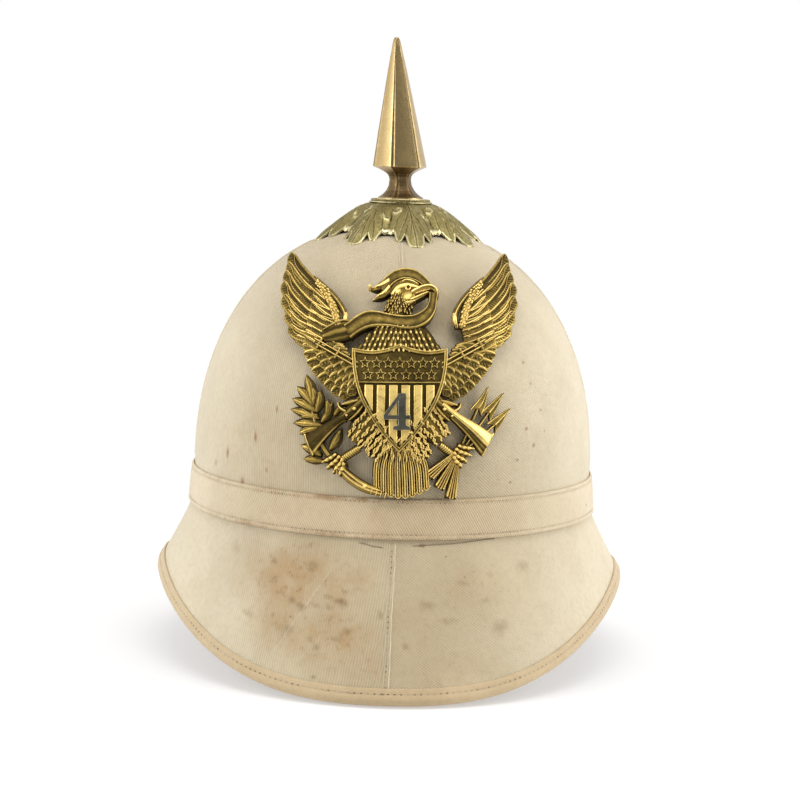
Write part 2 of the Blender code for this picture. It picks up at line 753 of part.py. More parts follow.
def half_width_of_shield(up):
    """Half the width inside the shield's border at a height on the grid."""
    side = shield_outline(SHIELD_BORDER + 0.4)[: len(SHIELD_SIDE) - 4]
    for low, high in zip(side, side[1:]):
        if low.y <= up <= high.y:
            share = (up - low.y) / (high.y - low.y)
            return low.x + (high.x - low.x) * share
    return side[-1].x if up > side[-1].y else 0.0


def shield_foot_up(across):
    """The lowest height inside the shield's border at a distance from its middle line."""
    low, high = SHIELD_SIDE[0][1], STRIPE_TOP_UP
    for _ in range(30):
        middle = (low + high) / 2
        low, high = (low, middle) if half_width_of_shield(middle) > across else (middle, high)
    return high


def star_outline(centre, radius):
    """A five-pointed star on the grid."""
    points = []
    for i in range(10):
        reach = radius if i % 2 == 0 else radius * STAR_INNER
        turn = math.pi / 2 + i * math.pi / 5
        points.append((centre[0] + reach * math.cos(turn), centre[1] + reach * math.sin(turn)))
    return points


def build_shield(collection):
    """The shield: a sunk field in a raised border, with a bar, stripes and stars."""
    prism("shield_field", shield_outline(SHIELD_BORDER / 3), SHIELD_FIELD, collection)
    outer, inner = shield_outline(), shield_outline(SHIELD_BORDER)
    rim = SHIELD_RIM * EAGLE_RELIEF
    middle_height = (SHIELD_FIELD + SHIELD_RIM) / 2 * EAGLE_RELIEF
    foot = below(collection)
    sections = []
    for far, near in zip(outer, inner):
        crest = (far + near) / 2
        sections.append([
            Vector((far.x * GRID, far.y * GRID, foot)),
            Vector((far.x * GRID, far.y * GRID, middle_height)),
            Vector((crest.x * GRID, crest.y * GRID, rim)),
            Vector((near.x * GRID, near.y * GRID, middle_height)),
            Vector((near.x * GRID, near.y * GRID, foot)),
        ])
    loft("shield_border", sections, collection, None, closed_run=True)
    bar_half = half_width_of_shield(CHIEF_BAR_UP) + SHIELD_BORDER / 2
    low, high = CHIEF_BAR_UP - CHIEF_BAR_WIDTH / 2, CHIEF_BAR_UP + CHIEF_BAR_WIDTH / 2
    bar = ((-bar_half, low), (bar_half, low), (bar_half, high), (-bar_half, high))
    prism("chief_bar", bar, STRIPE_HEIGHT, collection)
    for i in range(SHIELD_STRIPES):
        across = (i - (SHIELD_STRIPES - 1) / 2) * STRIPE_PITCH
        near, far = across - STRIPE_WIDTH / 2, across + STRIPE_WIDTH / 2
        outline = (
            (near, shield_foot_up(abs(near))),
            (far, shield_foot_up(abs(far))),
            (far, STRIPE_TOP_UP),
            (near, STRIPE_TOP_UP),
        )
        prism(f"stripe_{i}", outline, STRIPE_HEIGHT, collection)
    for count, up, pitch in STAR_ROWS:
        for i in range(count):
            centre = ((i - (count - 1) / 2) * pitch, up)
            prism(
                f"star_{up}_{i}", star_outline(centre, STAR_RADIUS), STAR_HEIGHT, collection,
            )


def build_eagle_pieces(collection):
    """Every form of the eagle, flat, as loose closed pieces."""
    for side in (1, -1):
        build_wing(side, collection)
    for name, root, middle, tip, wide_root, wide_middle, wide_tip, edge, ridge in BLADES:
        widths = (wide_root, wide_middle, wide_tip)
        blade(name, (root, middle, tip), widths, edge, ridge, collection)
    for i, (root, tip) in enumerate(OLIVE_LEAVES):
        feather(f"olive_{i}", root, tip, OLIVE_LEAF_WIDTH, 0.22, 0.46, 0.0, collection)
    for i, (root, tip) in enumerate(FLETCHINGS):
        feather(f"fletching_{i}", root, tip, FLETCHING_WIDTH, 0.22, 0.44, 0.0, collection)
    for i in range(TAIL_COUNT):
        share = 2 * i / (TAIL_COUNT - 1) - 1
        root = (TAIL_ROOT_HALF * share, TAIL_ROOT_UP)
        drop = (TAIL_CORNER_UP - TAIL_TIP_UP) * share**2
        tip = (TAIL_TIP_HALF * share, TAIL_TIP_UP + drop)
        feather(f"tail_{i}", root, tip, TAIL_FEATHER_WIDTH, 0.26, 0.46, 0.0, collection)
    for name, line, edge, ridge, steps in (
        ("ribbon_high", RIBBON_HIGH, 0.60, 0.72, 8), ("ribbon_low", RIBBON_LOW, 0.76, 0.90, 10),
    ):
        spine = [along(line, i / steps) for i in range(steps + 1)]
        blade(name, spine, [RIBBON_WIDTH] * len(spine), edge, ridge, collection)
    build_shield(collection)


def fuse(pieces):
    """One closed mesh from the union of every object in a collection, cut flat at the back."""
    loose = list(pieces.objects)
    for obj in loose:
        turn_outward(obj)
    first = loose[0]
    pieces.objects.unlink(first)
    bpy.context.scene.collection.objects.link(first)
    join = first.modifiers.new("join", "BOOLEAN")
    join.operation = "UNION"
    join.operand_type = "COLLECTION"
    join.collection = pieces
    join.solver = "EXACT"
    wide, deep = EAGLE_SPAN * 1.5, EAGLE_BELOW * 4
    square = [(-wide, -wide), (wide, -wide), (wide, wide), (-wide, wide)]
    slab_sections = [[Vector((x, y, z)) for x, y in square] for z in (-deep, 0.0)]
    slab = loft("back_slab", slab_sections, bpy.context.scene.collection, None, caps=True)
    back = first.modifiers.new("back", "BOOLEAN")
    back.operation = "DIFFERENCE"
    back.object = slab
    back.solver = "EXACT"
    bpy.context.view_layer.update()
    ready = bpy.context.evaluated_depsgraph_get()
    whole = bpy.data.meshes.new_from_object(first.evaluated_get(ready))
    for obj in loose + [slab]:
        bpy.data.objects.remove(obj)
    return whole


def bend_mesh(mesh):
    """Cuts a flat mesh into panels along the grid and bends it to the crown."""
    body = bmesh.new()
    body.from_mesh(mesh)
    panels = int(EAGLE_SPAN / EAGLE_PANEL / 2) + 1
    for axis in range(2):
        direction = Vector((1.0 - axis, float(axis), 0.0))
        for i in range(-panels, panels + 1):
            everything = body.verts[:] + body.edges[:] + body.faces[:]
            bmesh.ops.bisect_plane(
                body, geom=everything, plane_co=direction * (i * EAGLE_PANEL), plane_no=direction,
                dist=2e-5,
            )
    bmesh.ops.triangulate(body, faces=body.faces)
    for vert in body.verts:
        vert.co = bend(vert.co)
    body.to_mesh(mesh)
    body.free()


def build_eagle(collection, finish):
    """The plate: eagle, shield, ribbon, rifles, olive branch and arrows, in one pierced sheet."""
    pieces = bpy.data.collections.new("eagle_pieces")
    bpy.context.scene.collection.children.link(pieces)
    build_eagle_pieces(pieces)
    whole = fuse(pieces)
    bpy.data.collections.remove(pieces)
    bend_mesh(whole)
    whole.name = "eagle_plate"
    whole.materials.clear()
    whole.materials.append(finish)
    eagle = bpy.data.objects.new("eagle_plate", whole)
    collection.objects.link(eagle)
    return shade(turn_outward(eagle), 25.0)


def build_numeral(collection, finish):
    """The separate silver numeral, held just clear of the stripes."""
    low = STRIPE_HEIGHT * EAGLE_RELIEF + NUMERAL_GAP
    rings = []
    for outline in (NUMERAL_OUTLINE, NUMERAL_COUNTER):
        rings.append([
            (point[0] * GRID, (point[1] + NUMERAL_FOOT_UP) * GRID) for point in outline
        ])
    body = bmesh.new()
    for ring in rings:
        verts = [body.verts.new((x, y, low)) for x, y in ring]
        for here, there in zip(verts, verts[1:] + verts[:1]):
            body.edges.new((here, there))
    bmesh.ops.triangle_fill(body, use_beauty=True, edges=body.edges[:], normal=(0, 0, 1))
    flat = body.faces[:]
    raised = bmesh.ops.extrude_face_region(body, geom=flat)
    for item in raised["geom"]:
        if isinstance(item, bmesh.types.BMVert):
            item.co.z += NUMERAL_THICKNESS
    mesh = bpy.data.meshes.new("numeral_4")
    body.to_mesh(mesh)
    body.free()
    for vertex in mesh.vertices:
        vertex.co = bend(vertex.co)
    mesh.materials.append(finish)
    numeral = bpy.data.objects.new("numeral_4", mesh)
    collection.objects.link(numeral)
    return turn_outward(numeral)


def settle(collection):
    """Moves the whole helmet so that the origin is on the ground under the middle of the rim."""
    corners = []
    for obj in collection.objects:
        corners += [vertex.co for vertex in obj.data.vertices]
    low = Vector([min(corner[i] for corner in corners) for i in range(3)])
    high = Vector([max(corner[i] for corner in corners) for i in range(3)])
    move = Vector((-(low.x + high.x) / 2, -(low.y + high.y) / 2, -low.z))
    for obj in collection.objects:
        obj.location = move


def main():
    for obj in list(bpy.data.objects):
        bpy.data.objects.remove(obj)
    helmet = bpy.data.collections.new("pith_helmet")
    bpy.context.scene.collection.children.link(helmet)
    drill = material("drill_cloth", (0.76, 0.66, 0.52), 0.9)
    trim = material("drill_trim", (0.72, 0.60, 0.46), 0.9)
    brass = material("gilt_brass", (0.62, 0.46, 0.20), 0.35, 1.0)
    silver = material("white_metal", (0.42, 0.45, 0.45), 0.4, 1.0)
    build_shell(helmet, drill)
    build_hat_band(helmet, trim)
    build_rim_binding(helmet, trim)
    build_seams(helmet, trim)
    build_leaf_base(helmet, brass)
    build_spike(helmet, brass)
    build_post(helmet, brass)
    build_eagle(helmet, brass)
    build_numeral(helmet, silver)
    settle(helmet)


main()
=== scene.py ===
"""A dress pith helmet in detail: drill cloth, stitched trim, a stamped leaf base, a faceted spike
and a pierced eagle plate. Metres, +Z up, the wearer faces -Y."""

import math

import bmesh
import bpy
import numpy as np
from mathutils import Matrix, Vector


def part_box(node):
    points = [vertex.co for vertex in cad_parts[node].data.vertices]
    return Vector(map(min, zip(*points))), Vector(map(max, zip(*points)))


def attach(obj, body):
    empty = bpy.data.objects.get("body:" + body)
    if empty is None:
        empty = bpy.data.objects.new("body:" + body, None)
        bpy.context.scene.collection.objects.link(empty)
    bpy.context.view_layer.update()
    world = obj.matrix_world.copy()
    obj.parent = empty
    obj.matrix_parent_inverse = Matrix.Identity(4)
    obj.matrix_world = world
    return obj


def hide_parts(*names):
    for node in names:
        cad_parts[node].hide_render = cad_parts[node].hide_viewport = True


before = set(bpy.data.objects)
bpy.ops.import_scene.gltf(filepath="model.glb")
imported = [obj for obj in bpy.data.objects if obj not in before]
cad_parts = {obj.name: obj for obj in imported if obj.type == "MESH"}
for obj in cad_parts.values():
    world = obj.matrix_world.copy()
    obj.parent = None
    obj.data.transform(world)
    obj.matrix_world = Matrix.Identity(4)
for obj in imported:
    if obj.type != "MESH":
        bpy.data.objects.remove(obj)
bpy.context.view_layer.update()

MM = 0.001
TAU = 2 * math.pi
GAP = 0.0003
# From the middle of the crown's foot, where the surfaces are drawn, to the middle of the solids
SETTLE = np.array([0.0, -0.001985, 0.000081])

# The helmet's main sizes, as in its solids
CROWN_W, CROWN_L, BASE_Z, RISE = 0.0985, 0.1195, 0.0888, 0.1205
FOOT_Z, FLARE, WALL = 0.0705, 0.0012, 0.0040
RIM_W, RIM_F, RIM_B, RIM_Z, RIM_LIFT = 0.1150, 0.1560, 0.1600, 0.0031, 0.0368
TOP_Z = BASE_Z + RISE
COLLAR_Z = TOP_Z + 0.0127
VENT_R = 0.0045
POST_R = 3.8
# Powers of the curves: the dome upward, outward and lengthwise, the rim's lift, the brim's flare
DOME_UP, DOME_OUT, DOME_LONG, LIFT_POWER, BRIM_POWER = 2.2, 2.25, 4.0, 3.3, 1.12
# The end of the dome that still has a direction, as a share of its height
LAST_PLACE = 0.9995


# Surfaces

def half_width(z):
    share = np.clip((z - BASE_Z) / RISE, 0.0, 1.0)
    dome = CROWN_W * np.maximum(1 - share**DOME_UP, 0.0) ** (1 / DOME_OUT)
    return np.where(z < BASE_Z, CROWN_W + FLARE * (BASE_Z - z) / (BASE_Z - FOOT_Z), dome)


def crown_height(width):
    share = np.minimum(width / CROWN_W, 1.0)
    return BASE_Z + RISE * (1 - share**DOME_OUT) ** (1 / DOME_UP)


def stretch(z):
    share = np.clip((z - BASE_Z) / RISE, 0.0, 1.0)
    return 1 + (CROWN_L / CROWN_W - 1) * (1 - share**DOME_LONG)


def crown(a, z):
    w = half_width(z)
    return np.stack([w * np.sin(a), -w * stretch(z) * np.cos(a), z + 0 * a], -1)


def rim(a):
    length = np.where(np.cos(a) > 0, RIM_F, RIM_B)
    lift = RIM_LIFT * np.abs(np.sin(a)) ** LIFT_POWER
    return np.stack([RIM_W * np.sin(a), -length * np.cos(a), RIM_Z + lift], -1)


def surface(a, place):
    """The shell's outside: place -1 is the rim, 0 the crown's foot and 1 its top."""
    a, place = np.broadcast_arrays(np.asarray(a, float), np.asarray(place, float))
    up = crown(a, FOOT_Z + (TOP_Z - FOOT_Z) * np.clip(place, 0.0, LAST_PLACE))
    share = np.clip(-place, 0.0, 1.0)[..., None]
    away = rim(a) - up
    down = up + away * np.concatenate([share**BRIM_POWER, share**BRIM_POWER, share], -1)
    return np.where((place < 0)[..., None], down, up)


def unit(v):
    return v / np.maximum(np.linalg.norm(v, axis=-1, keepdims=True), 1e-12)


def normal(a, place, keep_side=True):
    """The outward direction. keep_side takes it from the crown or the brim alone at their edge."""
    step = 1e-3
    place = np.asarray(place, float)
    high, low = np.minimum(place + step, 0.9985), np.maximum(place - step, -1.0)
    if keep_side:
        high = np.where(place <= 0, np.minimum(high, 0.0), high)
        low = np.where(place > 0, np.maximum(low, 0.0), low)
    up = surface(a, high) - surface(a, low)
    side = surface(a + step, place) - surface(a - step, place)
    return unit(np.cross(side, up))


def lumps(p):
    """Slow unevenness of cloth over cork, in metres."""
    waves = (
        ((31, 12, 20), 0.3, 0.10), ((-22, 28, 35), 1.7, 0.10), ((55, -18, -41), 2.9, 0.07),
        ((12, 66, 48), 4.4, 0.06), ((-78, 25, 60), 0.9, 0.045), ((90, 70, -85), 3.3, 0.035),
    )
    return sum(np.sin(p @ np.array(k, float) + shift) * size for k, shift, size in waves) * MM


def on_shell(a, place, height=0.0):
    """A point at a height above the cloth, in the frame of the solids."""
    p = surface(a, place)
    h = np.broadcast_to(np.asarray(height, float), p.shape[:-1])
    return p + normal(a, place) * (h + lumps(p))[..., None] + SETTLE


def place_of(z):
    return (z - FOOT_Z) / (TOP_Z - FOOT_Z)


def crown_under(x, y):
    """The crown's height below points seen from above, by halving."""
    low, high = np.full(np.shape(x), BASE_Z), np.full(np.shape(x), TOP_Z)
    for _ in range(36):
        z = (low + high) / 2
        w = half_width(z)
        inside = (x / w) ** 2 + (y / (w * stretch(z))) ** 2 < 1
        low, high = np.where(inside, z, low), np.where(inside, high, z)
    return (low + high) / 2


def smooth(x, low, high):
    t = np.clip((x - low) / (high - low), 0.0, 1.0)
    return t * t * (3 - 2 * t)


def bell(x, width):
    return np.exp(-((x / width) ** 2))


def around(count):
    return np.arange(count) * TAU / count


def ring_at(a, radius, z):
    """Points round the upright axis, radius and z in mm, or grids of them."""
    return np.stack([radius * np.sin(a), -radius * np.cos(a), z + 0 * radius * a], -1)


def lengths(p, axis):
    """The way run along points, from 0."""
    step = np.linalg.norm(np.diff(p, axis=axis), axis=-1)
    start = np.zeros_like(np.take(step, [0], axis))
    return np.concatenate([start, np.cumsum(step, axis)], axis)


def run_along(line):
    return lengths(line[None], 1)[0]


# Meshes

class Pile:
    """Gathers grids of quads into one mesh, with a UV map and a tone for each point."""

    def __init__(self):
        self.points, self.quads, self.uvs, self.tones, self.kinds = [], [], [], [], []
        self.count = 0

    def grid(self, p, wrap=False, loop=False, tone=0.5, uv=None, uv_pair=None, kind=0, flip=False):
        """p is rows x columns x 3. wrap closes the columns and loop closes the rows. uv_pair has
        the UV at the left and right of each quad, where a cut parts them."""
        rows, cols = p.shape[:2]
        i = np.arange(rows if loop else rows - 1)[:, None]
        j = np.arange(cols if wrap else cols - 1)[None, :]
        i2, j2 = (i + 1) % rows, (j + 1) % cols
        quads = np.stack([i * cols + j, i * cols + j2, i2 * cols + j2, i2 * cols + j], -1)
        if uv_pair is None:
            if uv is None:
                uv = np.stack(np.meshgrid(np.arange(cols), np.arange(rows)), -1) * 0.1
            uv_pair = uv[:, j[0]], uv[:, j2[0]]
        left, right = uv_pair
        near, far = i[:, 0], i2[:, 0]
        corners = np.stack([left[near], right[near], right[far], left[far]], 2)
        if flip:
            quads, corners = quads[..., ::-1], corners[:, :, ::-1]
        self.points.append(p.reshape(-1, 3))
        self.quads.append(quads.reshape(-1, 4) + self.count)
        self.uvs.append(corners.reshape(-1, 4, 2))
        self.tones.append(np.broadcast_to(np.asarray(tone, float), (rows, cols)).ravel())
        self.kinds.append(np.full(quads.size // 4, kind))
        self.count += rows * cols

    def cap(self, ring, tone=0.3, flip=False):
        """Closes a ring of points with a fan of thin quads about its middle."""
        middle = ring.mean(0)
        inner = ring * 0.02 + middle * 0.98
        for pair in ((ring, inner), (inner, np.repeat(middle[None], len(ring), 0))):
            self.grid(np.stack(pair), wrap=True, tone=tone, flip=flip)

    def make(self, name, finishes, slot, stands_for=(), weld=0.0, sharp=None):
        points = np.concatenate(self.points).astype(np.float32)
        quads = np.concatenate(self.quads).astype(np.int32)
        mesh = bpy.data.meshes.new(name)
        mesh.vertices.add(len(points))
        mesh.vertices.foreach_set("co", points.ravel())
        mesh.loops.add(quads.size)
        mesh.loops.foreach_set("vertex_index", quads.ravel())
        mesh.polygons.add(len(quads))
        mesh.polygons.foreach_set("loop_start", np.arange(0, quads.size, 4, dtype=np.int32))
        mesh.polygons.foreach_set("material_index", np.concatenate(self.kinds).astype(np.int32))
        mesh.update(calc_edges=True)
        layer = mesh.uv_layers.new(name="weave")
        layer.data.foreach_set("uv", np.concatenate(self.uvs).astype(np.float32).ravel())
        point_values(mesh, "tone", np.concatenate(self.tones))
        if weld:
            merge(mesh, weld)
        mesh.validate()
        mesh.shade_smooth()
        if sharp:
            mesh.set_sharp_from_angle(angle=math.radians(sharp))
        for finish in finishes:
            mesh.materials.append(finish)
        return place_piece(name, mesh, stands_for)


def place_piece(name, mesh, stands_for=()):
    obj = bpy.data.objects.new(name, mesh)
    bpy.context.scene.collection.objects.link(obj)
    if stands_for:
        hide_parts(*stands_for)
    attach(obj, "root")
    return obj


def point_values(mesh, name, values):
    layer = mesh.attributes.new(name, "FLOAT", "POINT")
    layer.data.foreach_set("value", np.asarray(values, np.float32).ravel())


def merge(mesh, distance):
    """Welds doubled points and drops the faces that this closes up."""
    body = bmesh.new()
    body.from_mesh(mesh)
    bmesh.ops.remove_doubles(body, verts=body.verts, dist=distance)
    bmesh.ops.dissolve_degenerate(body, dist=distance / 4, edges=body.edges)
    body.to_mesh(mesh)
    body.free()


# Materials

class Graph:
    """A Principled material and a few short ways to add nodes to it."""

    def __init__(self, name):
        self.material = bpy.data.materials.new(name)
        self.material.use_nodes = True
        self.tree = self.material.node_tree
        self.shader = self.tree.nodes["Principled BSDF"]

    def put(self, socket, value):
        if isinstance(value, bpy.types.NodeSocket):
            self.tree.links.new(value, socket)
        elif isinstance(value, tuple) and len(value) == 3 and len(socket.default_value) == 4:
            socket.default_value = (*value, 1.0)
        else:
            socket.default_value = value

    def made(self, kind, values, **settings):
        node = self.tree.nodes.new(kind)
        for key, value in settings.items():
            setattr(node, key, value)
        for key, value in values.items():
            if value is not None:
                self.put(node.inputs[key], value)
        return node.outputs

    def node(self, kind, *values, out=0, **settings):
        return self.made(kind, dict(enumerate(values)), **settings)[out]

    def math(self, operation, a, b=None, c=None, clamp=False):
        return self.node("ShaderNodeMath", a, b, c, operation=operation, use_clamp=clamp)

    def mul(self, a, b):
        return self.math("MULTIPLY", a, b)

    def add(self, a, b):
        return self.math("ADD", a, b)

    def sub(self, a, b):
        return self.math("SUBTRACT", a, b)

    def size(self, a):
        return self.math("ABSOLUTE", a)

    def most(self, values):
        """The greatest of some values."""
        best = values[0]
        for value in values[1:]:
            best = self.math("MAXIMUM", best, value)
        return best

    def wave(self, value, swing, middle):
        cosine = self.math("COSINE", self.mul(value, TAU))
        return self.math("MULTIPLY_ADD", cosine, swing, middle)

    def vector(self, operation, a, b=None, out=0):
        return self.node("ShaderNodeVectorMath", a, b, operation=operation, out=out)

    def split(self, value):
        return self.made("ShaderNodeSeparateXYZ", {0: value})

    def place(self):
        return self.node("ShaderNodeTexCoord", out=3)

    def tone(self):
        return self.node("ShaderNodeAttribute", attribute_name="tone", out=2)

    def noise(self, where, scale, detail=2.0, rough=0.5, out=0):
        values = {"Vector": where, "Scale": scale, "Detail": detail, "Roughness": rough}
        return self.made("ShaderNodeTexNoise", {**values, "Distortion": 0.0})[out]

    def span(self, value, low, high, to_low=0.0, to_high=1.0):
        """A soft step from one value to another."""
        return self.node("ShaderNodeMapRange", value, low, high, to_low, to_high,
                         interpolation_type="SMOOTHSTEP")

    def cloud(self, where, noise, low, high, to_low=0.0, to_high=1.0):
        """Patches: a noise of some scale, detail and roughness, through a soft step."""
        return self.span(self.noise(where, *noise), low, high, to_low, to_high)

    def mix(self, share, a, b):
        return self.made("ShaderNodeMix", {0: share, 6: a, 7: b}, data_type="RGBA")[2]

    def bump(self, height):
        values = {"Strength": 1.0, "Distance": 1.0, "Height": height}
        self.put(self.shader.inputs["Normal"], self.made("ShaderNodeBump", values)[0])

    def finish(self, **values):
        for key, value in values.items():
            self.put(self.shader.inputs[key.replace("_", " ")], value)
        return self.material


def shade(colour, share):
    return tuple(part * share for part in colour)


# Colours of cloth and of its stains, and of the light painted on it
CLOTH_LIGHT, CLOTH_DARK = (0.60, 0.51, 0.345), (0.48, 0.38, 0.235)
TRIM_LIGHT, TRIM_DARK = (0.75, 0.605, 0.40), (0.57, 0.435, 0.258)
BINDING_LIGHT, BINDING_DARK = (0.59, 0.455, 0.275), (0.45, 0.33, 0.185)
THREAD_LIGHT, THREAD_DARK = (0.60, 0.50, 0.34), (0.46, 0.35, 0.22)
GREY_LIGHT, GREY_DARK = (0.36, 0.30, 0.21), (0.26, 0.21, 0.14)
# the first of these three paints the side light, and the last paints the highlight on folded edges
SIDE_LIGHT_PALE, CREASED, FOLD_HIGHLIGHT = (0.76, 0.68, 0.51), (0.72, 0.63, 0.46), (0.80, 0.72, 0.54)
BROAD_BROWN, FOXED, SPOTTED = (0.42, 0.275, 0.135), (0.235, 0.145, 0.07), (0.230, 0.148, 0.068)
SPECK, RUSTY, HOLE = (0.20, 0.10, 0.045), (0.25, 0.10, 0.03), (0.14, 0.08, 0.04)
EDGE_RUST, TANNED = (0.34, 0.195, 0.09), (0.42, 0.26, 0.13)

# Stains on the front of the cloth, in millimetres: x, z, half width, half height, strength
BROAD = (
    (-42, 50, 24, 17, 1.0), (-24, 50, 18, 15, 0.8), (-25, 30, 20, 15, 0.95), (-46, 30, 15, 12, 0.8),
    (-18, 17, 17, 9, 0.6), (14, 34, 16, 16, 0.28), (40, 50, 22, 14, 0.30), (30, 16, 20, 8, 0.35),
    (-60, 106, 26, 22, 0.30), (20, 176, 26, 12, 0.35),
)
STAINS = (
    (-53, 57, 1.8, 1.5, 0.60), (-35, 56.5, 2.4, 1.8, 0.55), (-52, 49, 1.5, 1.1, 0.60),
    (-43.7, 42, 2.2, 1.7, 0.70), (-39.6, 39.4, 3.0, 2.0, 0.65), (-21.2, 42.6, 2.8, 1.8, 0.85),
    (-26, 45, 1.7, 1.3, 0.5), (-26, 40, 1.8, 1.3, 0.55), (-18.5, 31.5, 2.2, 1.5, 0.6),
    (-30.7, 24, 1.9, 1.5, 0.5), (-22.6, 28, 2.0, 1.5, 0.5), (-46, 29.6, 3.4, 2.4, 0.5),
    (-64, 33.7, 2.2, 1.6, 0.5), (-31.8, 11, 1.2, 0.9, 0.6), (-3.0, 38.5, 1.6, 1.6, 0.45),
    (-35.5, 66.4, 1.3, 0.9, 0.5), (-44, 35, 0.6, 0.5, 0.9), (-32, 41, 3.0, 1.0, 0.35),
    (-72, 60, 2.0, 2.6, 0.25), (52, 32, 4, 3, 0.40), (62, 57, 3, 3, 0.35), (18, 43, 3, 2.4, 0.40),
    (27, 36, 5, 1.4, 0.35), (45, 44, 2, 1.4, 0.35), (34, 52, 2.4, 1.6, 0.3), (8, 26, 1.6, 1.2, 0.4),
)
RUST = (
    (-78, 102, 0.8, 3.0, 0.85), (-64, 112, 0.8, 2.6, 0.8), (-70, 90, 1.0, 2.2, 0.8),
    (-54, 126, 0.6, 1.8, 0.7), (-84, 96, 0.7, 1.8, 0.6), (-58, 98, 0.6, 1.2, 0.6),
    (62, 120, 0.8, 0.8, 0.8), (66, 112, 0.7, 1.0, 0.8), (58, 106, 0.7, 0.7, 0.7),
    (60, 150, 0.8, 0.8, 0.7), (69, 128, 0.6, 0.6, 0.7), (55, 96, 0.6, 0.6, 0.7),
    (64, 140, 0.5, 0.7, 0.7), (71, 118, 0.5, 0.5, 0.6), (-40, 178, 1.4, 0.6, 0.6),
    (-47, 181, 0.9, 0.5, 0.5), (35, 150, 1.0, 2.4, 0.5), (33, 158, 0.7, 1.2, 0.5),
)
# Two old folds across the left of the visor: start, end and half width in mm
CREASES = (((-24.6, 58.5), (-52.5, 17.5), 0.75), ((-33.5, 24.0), (-40.0, 16.5), 0.5))


def marks(g, where, table):
    """The greatest of a table of soft spots on the front of the helmet."""
    spots = []
    for x, z, wide, high, strength in table:
        away = g.vector("SUBTRACT", where, (x * MM, -0.13, z * MM))
        away = g.vector("MULTIPLY", away, (1 / (wide * MM), 9.0, 1 / (high * MM)))
        spots.append(g.span(g.vector("LENGTH", away, out=1), 1.6, 0.10, 0.0, strength))
    return g.most(spots)


def fold_line(g, where, start, end, wide):
    """A soft line across the front between two points (x, z), in mm."""
    (x0, z0), (x1, z1) = start, end
    long = math.hypot(x1 - x0, z1 - z0)
    ux, uz = (x1 - x0) / long, (z1 - z0) / long
    away = g.vector("SUBTRACT", where, (x0 * MM, 0.0, z0 * MM))
    off = g.vector("DOT_PRODUCT", away, (-uz / MM, 0.0, ux / MM), out=1)
    along = g.vector("DOT_PRODUCT", away, (ux / MM / long, 0.0, uz / MM / long), out=1)
    ends = g.span(g.size(g.sub(along, 0.5)), 0.5, 0.42)
    return g.mul(g.span(g.size(off), wide, 0.0), ends)


def stained_front(g, where, colour, height):
    """Foxing, rust spots and creases, where the front shows them."""
    drift = g.vector("SUBTRACT", g.noise(where, 120.0, 3.0, out=1), (0.5, 0.5, 0.5))
    drift = g.vector("MULTIPLY", drift, (0.0055, 0.0055, 0.0055))
    shifted = g.vector("ADD", where, drift)
    patchy = g.cloud(where, (70.0, 4.0, 0.65), 0.38, 0.60, 0.46, 1.0)
    broad = g.mul(marks(g, shifted, BROAD), patchy)
    colour = g.mix(g.mul(broad, 0.90), colour, BROAD_BROWN)
    foxed = g.cloud(where, (330.0, 3.0, 0.65), 0.55, 0.66)
    colour = g.mix(g.mul(foxed, g.mul(broad, 0.60)), colour, FOXED)
    freckled = g.cloud(where, (210.0, 3.0, 0.7), 0.30, 0.55, 0.45, 1.0)
    colour = g.mix(g.mul(marks(g, shifted, STAINS), freckled), colour, SPOTTED)
    nearby = g.vector("ADD", where, g.vector("MULTIPLY", drift, (0.2, 0.2, 0.2)))
    colour = g.mix(marks(g, nearby, RUST), colour, RUSTY)
    crease = g.math("MAXIMUM", fold_line(g, where, *CREASES[0]),
                    g.mul(fold_line(g, where, *CREASES[1]), 0.7))
    crease = g.mul(crease, g.span(g.split(where)[1], -0.02, -0.05))
    colour = g.mix(g.mul(crease, 0.17), colour, CREASED)
    return colour, g.add(height, g.mul(crease, 0.14 * MM))


def rusty_edges(g, where, colour, edges):
    """Rust and tan along a strip's edges, most of it left of the middle."""
    edge = g.most([g.span(g.tone(), low, high) for low, high in edges])
    near = g.size(g.add(g.split(where)[0], 0.030))
    near = g.sub(1.0, g.span(near, 0.018, 0.075))
    some = g.mul(g.cloud(where, (70.0, 4.0, 0.7), 0.42, 0.66),
                 g.math("MULTIPLY_ADD", near, 0.60, 0.22))
    colour = g.mix(g.mul(edge, some), colour, EDGE_RUST)
    tan = g.cloud(where, (30.0, 3.0, 0.6), 0.44, 0.68, 0.0, 0.50)
    return g.mix(g.mul(tan, near), colour, TANNED)


def stitched(g, where, colour, height, rows, holes, dark):
    """Rows of needle holes, each row in a sunk line. The holes and the lines are painted dark, as the shade
    in them.
    """
    step = g.node("ShaderNodeAttribute", attribute_name="stitch", out=2)
    near = g.mul(g.size(g.sub(g.math("FRACT", step), 0.5)), 2.2)
    pits, lines = [], []
    for row in rows:
        off = g.size(g.sub(g.tone(), row))
        far = g.math("SQRT", g.add(g.math("POWER", near, 2.0), g.math("POWER", off, 2.0)))
        pits.append(g.span(far, 0.50, 0.20))
        lines.append(g.span(off, 0.8, 0.1))
    uneven = g.cloud(where, (130.0, 1.0), 0.40, 0.62, 0.15, 1.0)
    hole = g.mul(g.most(pits), uneven)
    # painted shade in the needle holes and along the sunk lines
    colour = g.mix(g.mul(hole, holes), colour, HOLE)
    colour = g.mix(g.mul(g.most(lines), 0.14), colour, shade(dark, 0.5))
    return colour, g.sub(height, g.mul(hole, 0.25 * MM))


